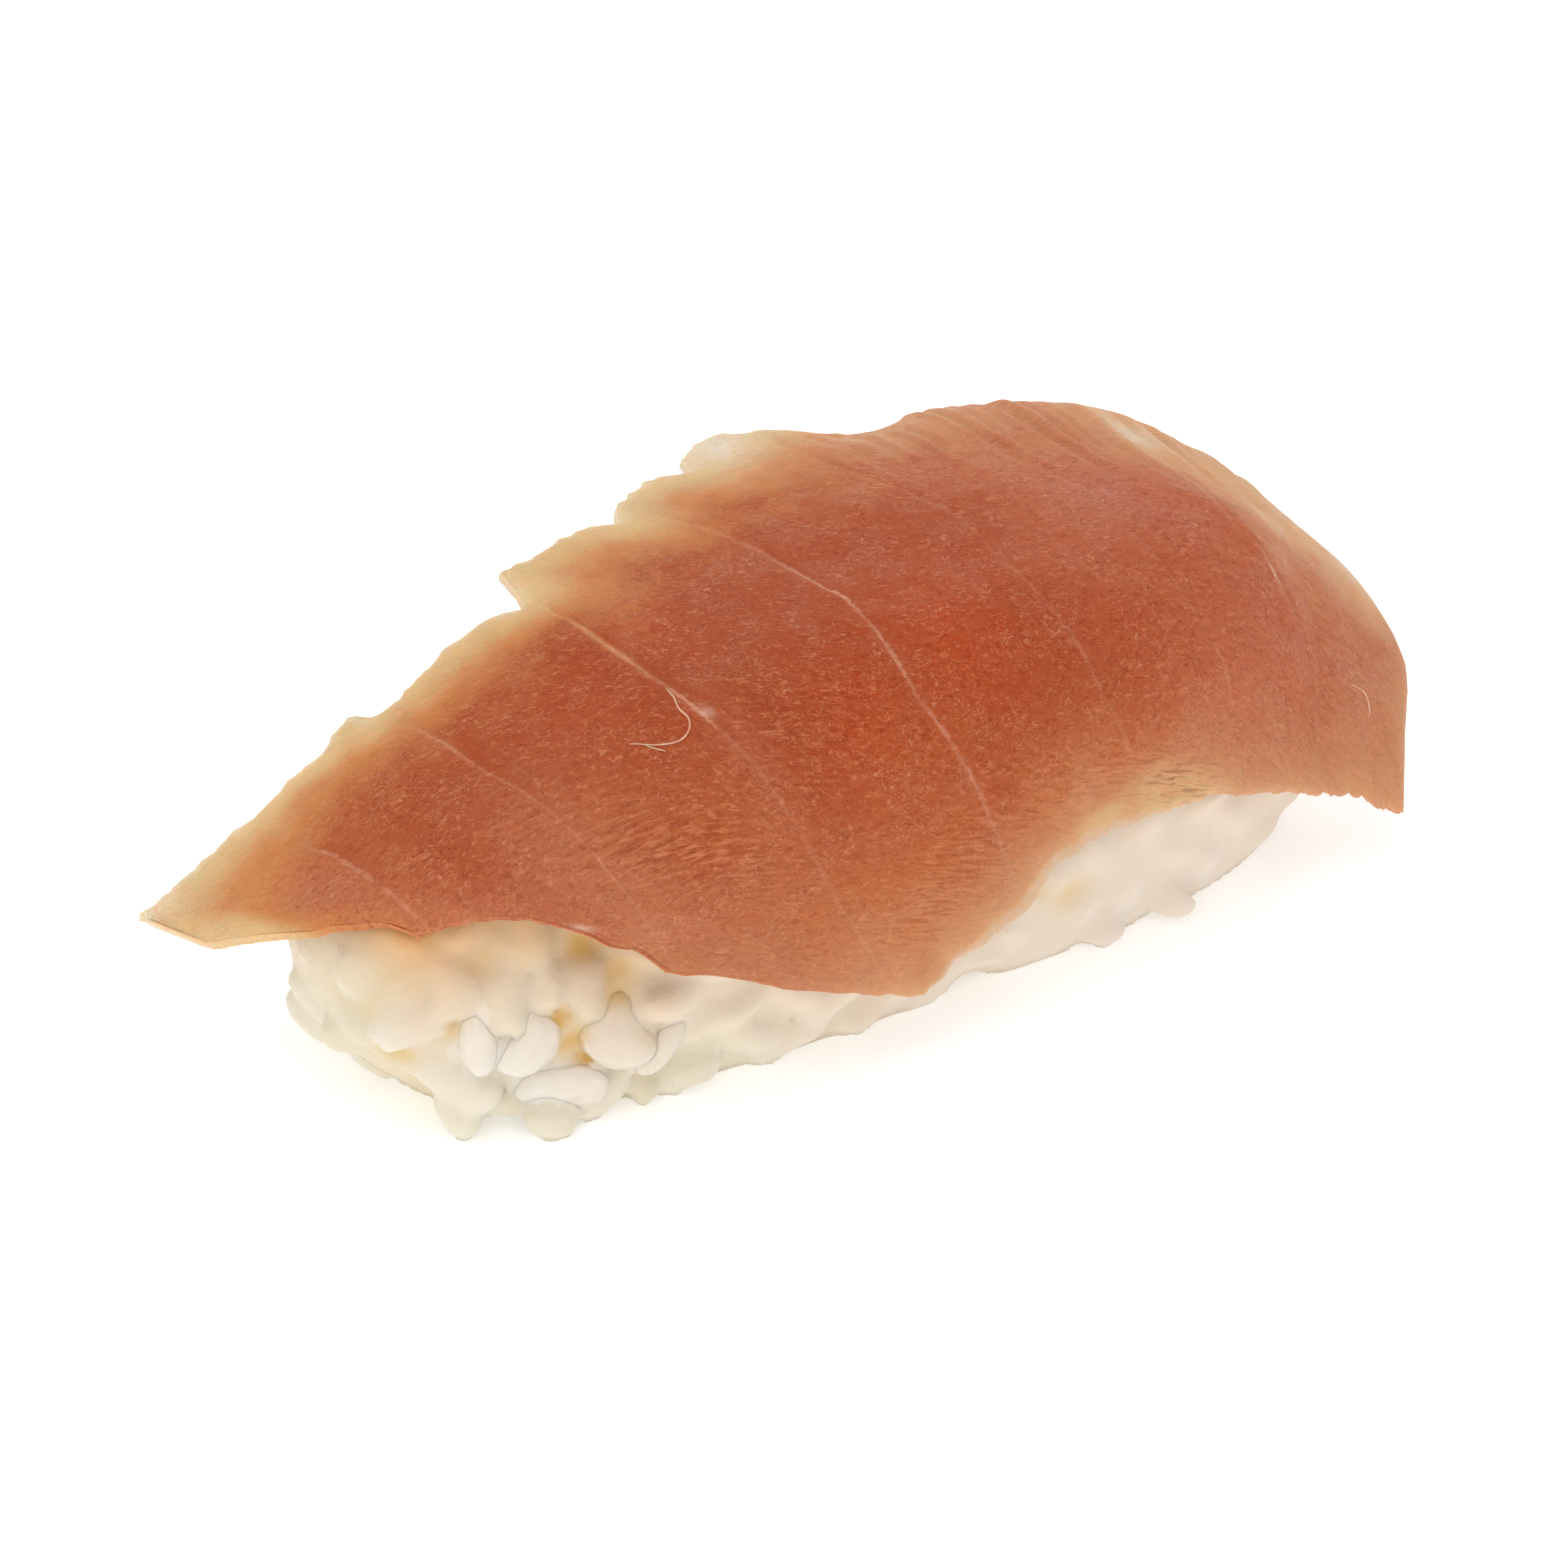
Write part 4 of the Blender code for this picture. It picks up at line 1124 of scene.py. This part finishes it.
def grainSamples(centre, lengthwise, outward, sizes):
    # Points on a grain's outside, to measure what it comes near.
    sideways = np.cross(outward, lengthwise)
    thickness, width, length = 0.5 * np.array(sizes)
    samples = [centre + lengthwise * length * end for end in (-1.0, 1.0)]
    for share, size in ((-0.6, 0.9), (0.0, 1.05), (0.6, 0.9)):
        for k in range(8):
            angle = math.tau * k / 8
            ring = sideways * math.cos(angle) * width + outward * math.sin(angle) * thickness
            samples.append(centre + lengthwise * length * share + ring * size)
    return np.array(samples)


def grainSpots(middle, lengthwise, length):
    # Three points along a grain.
    return [middle + lengthwise * length * end for end in (-0.3, 0.0, 0.3)]


def besideSlice(point, sliceTree, gap):
    # The slice's nearest point and its outward direction there, where the point is too near or inside.
    probe = Vector(point) * mm
    nearest, normal, _, distance = sliceTree.find_nearest(probe)
    if distance < gap * mm or (probe - nearest).dot(normal) < 0.0:
        return nearest, normal
    return None


def underSlice(point, outward, sliceTree):
    # True where the slice covers a point both straight out from it and lower down.
    start = Vector(point) * mm
    straight = Vector(outward)
    low = (straight + Vector((0.0, 0.0, -0.9))).normalized()
    reach = riceSizes["hiddenReach"] * mm
    return all(sliceTree.ray_cast(start, way, reach)[0] is not None for way in (straight, low))


def shownPose(tilt, outward):
    # Lengthwise and outward directions of a grain that is tilted on screen by an angle in degrees.
    toCamera = np.array(viewDirection())
    toRight = unit(np.cross((0.0, 0.0, 1.0), toCamera))
    upScreen = np.cross(toCamera, toRight)
    lengthwise = toRight * math.cos(math.radians(tilt)) + upScreen * math.sin(math.radians(tilt))
    lengthwise = unit(lengthwise - 0.5 * outward * np.dot(outward, lengthwise))
    return lengthwise, unit(outward - lengthwise * np.dot(outward, lengthwise))


def chancePose(rng, outward):
    turn = rng.uniform(0.0, math.tau)
    tilt = rng.uniform(-riceSizes["chanceTilt"], riceSizes["chanceTilt"])
    aside = Vector(outward).orthogonal().normalized()
    level = np.array(aside) * math.cos(turn) + np.array(Vector(outward).cross(aside)) * math.sin(turn)
    lengthwise = level * math.cos(tilt) + outward * math.sin(tilt)
    return lengthwise, outward * math.cos(tilt) - level * math.sin(tilt)


def sunkHeight(point, height):
    # The grains' height over the core, less towards the left end and on the near side's right.
    start, length, most = riceSizes["leftSink"]
    height = height - most * float(ramp(-point[0], start, length))
    start, length, most = riceSizes["rightSink"]
    return height - most * float(ramp(point[0], start, length)) * (point[1] < -riceSizes["nearSide"])


def planGrains(grid, normals, sliceTree):
    # Where each grain lies: the ones that show most first, then the rest by chance, evenly spread.
    rng = random.Random(riceSizes["seed"])
    plan = []
    centres = [np.array(gap[:3]) for gap in riceGaps]

    def tryGrain(middle, pose, sizes, whiteness, loose):
        samples = grainSamples(middle, *pose, sizes)
        lift = np.array((0.0, 0.0, max(riceSizes["floorGap"] - samples[:, 2].min(), 0.0)))
        gap = riceSizes["grainGap"]
        bad = lift[2] > riceSizes["mostLift"] or any(besideSlice(p, sliceTree, gap) for p in samples + lift)
        if not bad:
            plan.append({
                "middle": middle + lift, "lengthwise": pose[0], "outward": pose[1], "sizes": sizes,
                "whiteness": whiteness, "loose": loose,
            })
        return not bad

    flatGrid = grid.reshape(-1, 3)
    flatNormals = normals.reshape(-1, 3)
    for x, y, z, tilt, length, width, thickness, whiteness in shownGrains:
        centre = np.array((x, y, z))
        pose = shownPose(tilt, flatNormals[np.argmin(np.sum((flatGrid - centre) ** 2, axis=-1))])
        loose = whiteness > riceSizes["looseWhiteness"]
        if tryGrain(centre, pose, (thickness, width, length), whiteness, loose):
            centres.extend(grainSpots(centre - pose[1] * riceSizes["pasteDepth"], pose[0], length))

    sums = np.cumsum(np.linalg.norm(gridCross(grid), axis=-1).reshape(-1))
    bareHeight, bareNear = riceSizes["bareFoot"]
    for height, spacing, wanted in riceSizes["layers"]:
        made = 0
        for _ in range(riceSizes["tries"]):
            if made >= wanted:
                break
            index = int(np.searchsorted(sums, rng.random() * sums[-1]))
            point, outward = flatGrid[index], flatNormals[index]
            if np.min(np.sum((np.array(centres) - point) ** 2, axis=-1)) < spacing**2:
                continue
            if underSlice(point, outward, sliceTree) or (point[2] < bareHeight and point[1] < bareNear):
                continue
            if any(math.dist(point, bare[:3]) < bare[3] for bare in riceSizes["barePlaces"]):
                continue
            pose = chancePose(rng, outward)
            scale = rng.uniform(*riceSizes["grainScale"])
            sizes = [scale * riceSizes[name] for name in grainSides]
            loose = height > 0.0 and rng.random() < profile(riceSizes["loose"], point[0])
            loose = loose and point[1] > -riceSizes["nearSide"]
            whiteness = rng.uniform(*riceSizes["chanceWhiteness"])
            low = sunkHeight(point, height)
            tries = (point + outward * (low - sink) for sink in riceSizes["sinks"])
            if any(tryGrain(middle, pose, sizes, whiteness, loose) for middle in tries):
                centres.append(point)
                made += 1
    return plan


grainTreeValues = {
    "Grain Length": riceSizes["grainLength"] * mm,
    "Grain Width": riceSizes["grainWidth"] * mm,
    "Grain Thickness": riceSizes["grainThickness"] * mm,
    "Bluntness": 0.75,
    "Bend": 0.12,
    "Dent Depth": 0.34 * mm,
    "Dent Size": 1.9 * mm,
    "Seed": riceSizes["seed"],
}


def grainTree(material):
    # Blunt, slightly bent grains of five kinds, one on each point, dented and made one mesh.
    tree = bpy.data.node_groups.new("riceGrainsOnPoints", "GeometryNodeTree")
    tree.interface.new_socket("Geometry", in_out="INPUT", socket_type="NodeSocketGeometry")
    identifiers = {}
    for name, value in grainTreeValues.items():
        kind = "NodeSocketInt" if isinstance(value, int) else "NodeSocketFloat"
        identifiers[name] = tree.interface.new_socket(name, in_out="INPUT", socket_type=kind).identifier
    tree.interface.new_socket("Geometry", in_out="OUTPUT", socket_type="NodeSocketGeometry")
    given = tree.nodes.new("NodeGroupInput").outputs
    result = tree.nodes.new("NodeGroupOutput")

    def add(kind, inputs, output=0, **settings):
        return addNode(tree, kind, inputs, **settings).outputs[output]

    def both(first, second):
        return times(tree, first, second)

    sphere = add("GeometryNodeMeshUVSphere", {"Segments": 14, "Rings": 10, "Radius": 1.0}, "Mesh")
    position = add("GeometryNodeInputPosition", {})
    x, y, z = addNode(tree, "ShaderNodeSeparateXYZ", {0: position}).outputs
    squared = both(z, z)
    wider = calculate(tree, "SQRT", calculate(tree, "ADD", both(squared, given["Bluntness"]), 1.0))
    grainX = both(both(x, wider), both(given["Grain Thickness"], 0.5))
    straightY = both(both(y, wider), both(given["Grain Width"], 0.5))
    grainZ = both(z, both(given["Grain Length"], 0.5))
    kinds = addNode(tree, "GeometryNodeJoinGeometry", {})
    for bendShare in (-2.0, -1.0, 0.0, 1.0, 2.0):
        bend = both(both(given["Bend"], bendShare), given["Grain Width"])
        grainY = calculate(tree, "ADD", straightY, both(calculate(tree, "SUBTRACT", squared, 0.33), bend))
        shaped = add("ShaderNodeCombineXYZ", {"X": grainX, "Y": grainY, "Z": grainZ})
        kind = add("GeometryNodeSetPosition", {"Geometry": sphere, "Position": shaped})
        tree.links.new(add("GeometryNodeGeometryToInstance", {0: kind}), kinds.inputs[0])

    rotation = (0.0, 0.0, 0.0)
    for name, axis, pivot in (("lengthwise", "Z", "AUTO"), ("outward", "X", "Z")):
        vector = add("GeometryNodeInputNamedAttribute", {0: name}, data_type="FLOAT_VECTOR")
        inputs = {"Vector": vector, "Rotation": rotation}
        rotation = add("FunctionNodeAlignRotationToVector", inputs, axis=axis, pivot_axis=pivot)
    chosen = add("FunctionNodeRandomValue", {4: 0, 5: 4, "Seed": given["Seed"]}, 2, data_type="INT")
    scale = add("GeometryNodeInputNamedAttribute", {0: "grainScale"}, data_type="FLOAT_VECTOR")
    placed = add("GeometryNodeInstanceOnPoints", {
        "Points": given["Geometry"], "Instance": kinds.outputs[0], "Pick Instance": True,
        "Instance Index": chosen, "Rotation": rotation, "Scale": scale,
    })
    realized = add("GeometryNodeRealizeInstances", {0: placed})

    dentScale = calculate(tree, "DIVIDE", 1.0, given["Dent Size"])
    dents = add("ShaderNodeTexNoise", {"Vector": position, "Scale": dentScale, "Detail": 1.0}, 1)
    centred = add("ShaderNodeVectorMath", {0: dents, 1: (0.5, 0.5, 0.5)}, operation="SUBTRACT")
    depth = both(given["Dent Depth"], 2.0)
    shift = add("ShaderNodeVectorMath", {0: centred, "Scale": depth}, operation="SCALE")
    dented = add("GeometryNodeSetPosition", {"Geometry": realized, "Offset": shift})
    finished = add("GeometryNodeSetMaterial", {"Geometry": dented, "Material": material})
    tree.links.new(finished, result.inputs[0])
    return tree, identifiers


def appliedMesh(holder, name):
    # The plain mesh that an object's one modifier makes; the object itself goes.
    graph = bpy.context.evaluated_depsgraph_get()
    data = bpy.data.meshes.new_from_object(holder.evaluated_get(graph), depsgraph=graph)
    holder.modifiers.clear()
    bpy.data.objects.remove(holder)
    data.name = name
    return data


def grainMesh(plan, material):
    usual = np.array([riceSizes[name] for name in grainSides])
    points = makeMesh("grainPoints", np.array([grain["middle"] for grain in plan]), [])
    setAttribute(points, "lengthwise", [grain["lengthwise"] for grain in plan])
    setAttribute(points, "outward", [grain["outward"] for grain in plan])
    setAttribute(points, "grainScale", [np.array(grain["sizes"]) / usual for grain in plan])
    holder = makePiece("grainPoints", points)
    tree, identifiers = grainTree(material)
    modifier = holder.modifiers.new("grains", "NODES")
    modifier.node_group = tree
    for name, value in grainTreeValues.items():
        modifier[identifiers[name]] = value
    data = appliedMesh(holder, "riceGrains")
    data.shade_smooth()
    for vertex in data.vertices:
        vertex.co.z = max(vertex.co.z, 0.0)
    return data


def meshTree(data):
    points = [vertex.co.copy() for vertex in data.vertices]
    return BVHTree.FromPolygons(points, [tuple(face.vertices) for face in data.polygons])


def gridFaces(levels, sides):
    faces = []
    for i in range(levels - 1):
        for k in range(sides):
            after = (k + 1) % sides
            faces.append((i * sides + k, i * sides + after, (i + 1) * sides + after, (i + 1) * sides + k))
    foot = levels * sides
    for k in range(sides):
        after = (k + 1) % sides
        faces.append((foot, after, k))
        faces.append((foot + 1, (levels - 1) * sides + k, (levels - 1) * sides + after))
    return faces


def distanceTo(tree, points):
    return np.array([tree.find_nearest(Vector(point))[3] for point in points]) / mm


def fusedPaste(bare, pressed):
    # The bare core and the grains pressed into it, run together into one soft skin.
    joined = bmesh.new()
    joined.from_mesh(bare)
    joined.from_mesh(pressed)
    data = bpy.data.meshes.new("riceCore")
    joined.to_mesh(data)
    joined.free()
    holder = makePiece("riceCore", data)
    remesh = holder.modifiers.new("oneSkin", "REMESH")
    remesh.mode = "VOXEL"
    remesh.voxel_size = riceSizes["voxel"] * mm
    return appliedMesh(holder, "riceCore")


def readPoints(data):
    points = np.empty(len(data.vertices) * 3)
    data.vertices.foreach_get("co", points)
    return points.reshape(-1, 3) / mm


def fading(points, place, reach):
    # 1 at a place, fading to 0 past its reach.
    away = np.linalg.norm(points - np.array(place), axis=-1) / reach
    return np.exp(-(away**2))


def softenPaste(data, sliceTree):
    # Evens the skin, most at the right, and keeps it on the ground and clear of the slice.
    points = readPoints(data)
    edges = np.empty(len(data.edges) * 2, int)
    data.edges.foreach_get("vertices", edges)
    count = len(points)
    first, second = edges[0::2], edges[1::2]
    neighbours = np.bincount(edges, minlength=count)[:, None]
    amount = riceSizes["smoothingStep"] * profile(riceSizes["smoothness"], points[:, 0])[:, None]
    for _ in range(riceSizes["smoothings"]):
        sums = []
        for row in points.T:
            sums.append(np.bincount(first, row[second], count) + np.bincount(second, row[first], count))
        points += amount * (np.stack(sums, -1) / neighbours - points)
    for x, y, z, reach, depth in riceGaps + footHollows:
        inward = np.array((0.0, 0.0, riceSizes["middleHeight"])) - points
        inward[:, 0] *= 0.5
        pushed = riceSizes["gapDepth"] * depth * fading(points, (x, y, z), reach)
        points += unit(inward) * pushed[:, None]
    points[points[:, 2] < riceSizes["footFlat"], 2] = 0.0
    for point in points:
        near = besideSlice(point, sliceTree, riceSizes["pasteGap"])
        if near:
            point[:] = (near[0] + near[1] * riceSizes["pasteGap"] * mm) / mm
    data.vertices.foreach_set("co", (points * mm).ravel())
    data.update()
    data.shade_smooth()


def buildRice(material, grainLook, sliceTree):
    grid, normals = bareCore(sliceTree)
    plan = planGrains(grid, normals, sliceTree)
    ends = np.array((grid[0].mean(axis=0), grid[-1].mean(axis=0)))
    filled = grid + normals * riceSizes["pasteDepth"]
    filled[0, :, 2] = 0.0
    bare, paste = (
        makeMesh("bareCore", np.concatenate((wall.reshape(-1, 3), ends)), gridFaces(*grid.shape[:2]))
        for wall in (grid, filled)
    )
    core = fusedPaste(paste, grainMesh(plan, material))
    softenPaste(core, sliceTree)
    core.materials.clear()
    core.materials.append(material)
    print("rice core: %d faces" % len(core.polygons))
    lift = riceSizes["looseLift"]
    loose = [grain for grain in plan if grain["loose"]]
    raised = [dict(grain, middle=grain["middle"] + grain["outward"] * lift) for grain in loose]
    grains = grainMesh(raised, grainLook)
    bareTree = meshTree(bare)
    tones = KDTree(3 * len(plan))
    for number, grain in enumerate(plan):
        for spot in grainSpots(grain["middle"], grain["lengthwise"], grain["sizes"][2]):
            tones.insert(Vector(spot) * mm, number)
    tones.balance()
    for name, data in (("riceCore", core), ("riceGrains", grains)):
        places = [vertex.co for vertex in data.vertices]
        points = readPoints(data)
        gaps = [depth * fading(points, (x, y, z), reach) for x, y, z, reach, depth in riceGaps]
        setAttribute(data, "gap", np.maximum.reduce(gaps))
        setAttribute(data, "whiteness", [plan[tones.find(place)[1]]["whiteness"] for place in places])
        least, length = riceSizes["openness"]
        setAttribute(data, "openness", np.clip((distanceTo(bareTree, places) - least) / length, 0.0, 1.0))
        setAttribute(data, "nearSlice", np.exp(-distanceTo(sliceTree, places) / riceSizes["sliceShadingReach"]))
        piece = makePiece(name, data)
        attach(piece, "root")
        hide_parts("rice")
    print("rice: %d loose grains, %d in all, %d faces" % (len(raised), len(plan), len(grains.polygons)))


riceLooks = {
    "cream": (212, 204, 176),
    "white": (228, 225, 216),
    # painted warm shade for the closed low places between the grains
    "low": (216, 200, 156),
    # painted warm shade deep between the grains
    "gap": (215, 178, 92),
    # painted shade and reflected flesh colour under the slice at the left, a lighter painted colour under
    # it at the right
    "tint": (211, 155, 84),
    "rightUnderSliceLight": (236, 214, 188),
    "rightSide": (224, 211, 198),
    "sockets": {
        "Subsurface Weight": 1.0,
        "Subsurface Radius": (1.0, 0.95, 0.85),
        "Specular IOR Level": 0.4,
    },
    "glowDepths": (0.42 * mm, 0.2 * mm),  # paste, loose grains
}


def riceMaterial(name, glowDepth, mottle):
    sockets = dict(riceLooks["sockets"])
    sockets["Subsurface Scale"] = glowDepth
    material, tree, shader = newMaterial(name, sockets)
    place = objectPlace(tree)
    x = addNode(tree, "ShaderNodeSeparateXYZ", {0: place}).outputs["X"]
    blotches = useGroup(tree, mottle, place=place, blotchSize=5.0)
    fine = useGroup(tree, mottle, place=place, blotchSize=0.9, detail=3.0)
    speckle = useGroup(tree, mottle, place=place, blotchSize=0.35, low=0.45, high=0.7)
    # painted warm shade where the paste lies low over the bare core, stronger at the left
    openness = readAttribute(tree, "openness")
    lowShadeMask = times(tree, between(tree, openness, 0.75, 0.0), between(tree, x, -16.0, 4.0, 0.6, 0.3))
    colour = layColours(tree, riceLooks, linear(*riceLooks["cream"]), (
        ("white", readAttribute(tree, "whiteness"), 1.0),
        ("rightSide", between(tree, x, -16.0, 6.0), 0.85),
        ("rightSide", blotches, 0.25),
        ("low", lowShadeMask, 1.0),
        # painted warm shade in the deep gaps, where the paste is open
        ("gap", readAttribute(tree, "gap"), between(tree, openness, 1.0, 0.55)),
    ))
    # painted shade and reflected flesh colour on the rice under the slice, most in the middle of the left
    # face; towards the right a lighter painted colour offsets the shadow there
    warm = times(tree, between(tree, x, -34.0, -30.5, 0.3, 1.0), between(tree, x, -18.0, 2.0, 1.0, 0.8))
    left, right = (linear(*riceLooks[name]) for name in ("tint", "rightUnderSliceLight"))
    tint = blendColours(tree, between(tree, x, -22.0, -12.0), left, right)
    colour = blendColours(tree, times(tree, readAttribute(tree, "nearSlice"), warm), colour, tint)
    tree.links.new(colour, shader.inputs["Base Color"])
    tree.links.new(between(tree, speckle, 0.0, 1.0, 0.5, 0.28), shader.inputs["Roughness"])
    addBump(tree, shader, calculate(tree, "ADD", fine, times(tree, speckle, 0.4)), 0.07, 0.35)
    return material


# Making it all
addCamera()
addStudio()
print("camera and studio are set")
streaks = streakGroup()
mottle = mottleGroup()
tunaSlice = buildSlice(fleshMaterial(streaks, mottle))
sliceTree = meshTree(tunaSlice.data)
print("slice: %d points" % len(tunaSlice.data.vertices))
buildThreads(threadMaterial(mottle), sliceTree)
print("threads are on the slice")
pasteGlow, grainGlow = riceLooks["glowDepths"]
pasteLook = riceMaterial("pressedRice", pasteGlow, mottle)
buildRice(pasteLook, riceMaterial("riceGrain", grainGlow, mottle), sliceTree)
print("rice is under the slice")
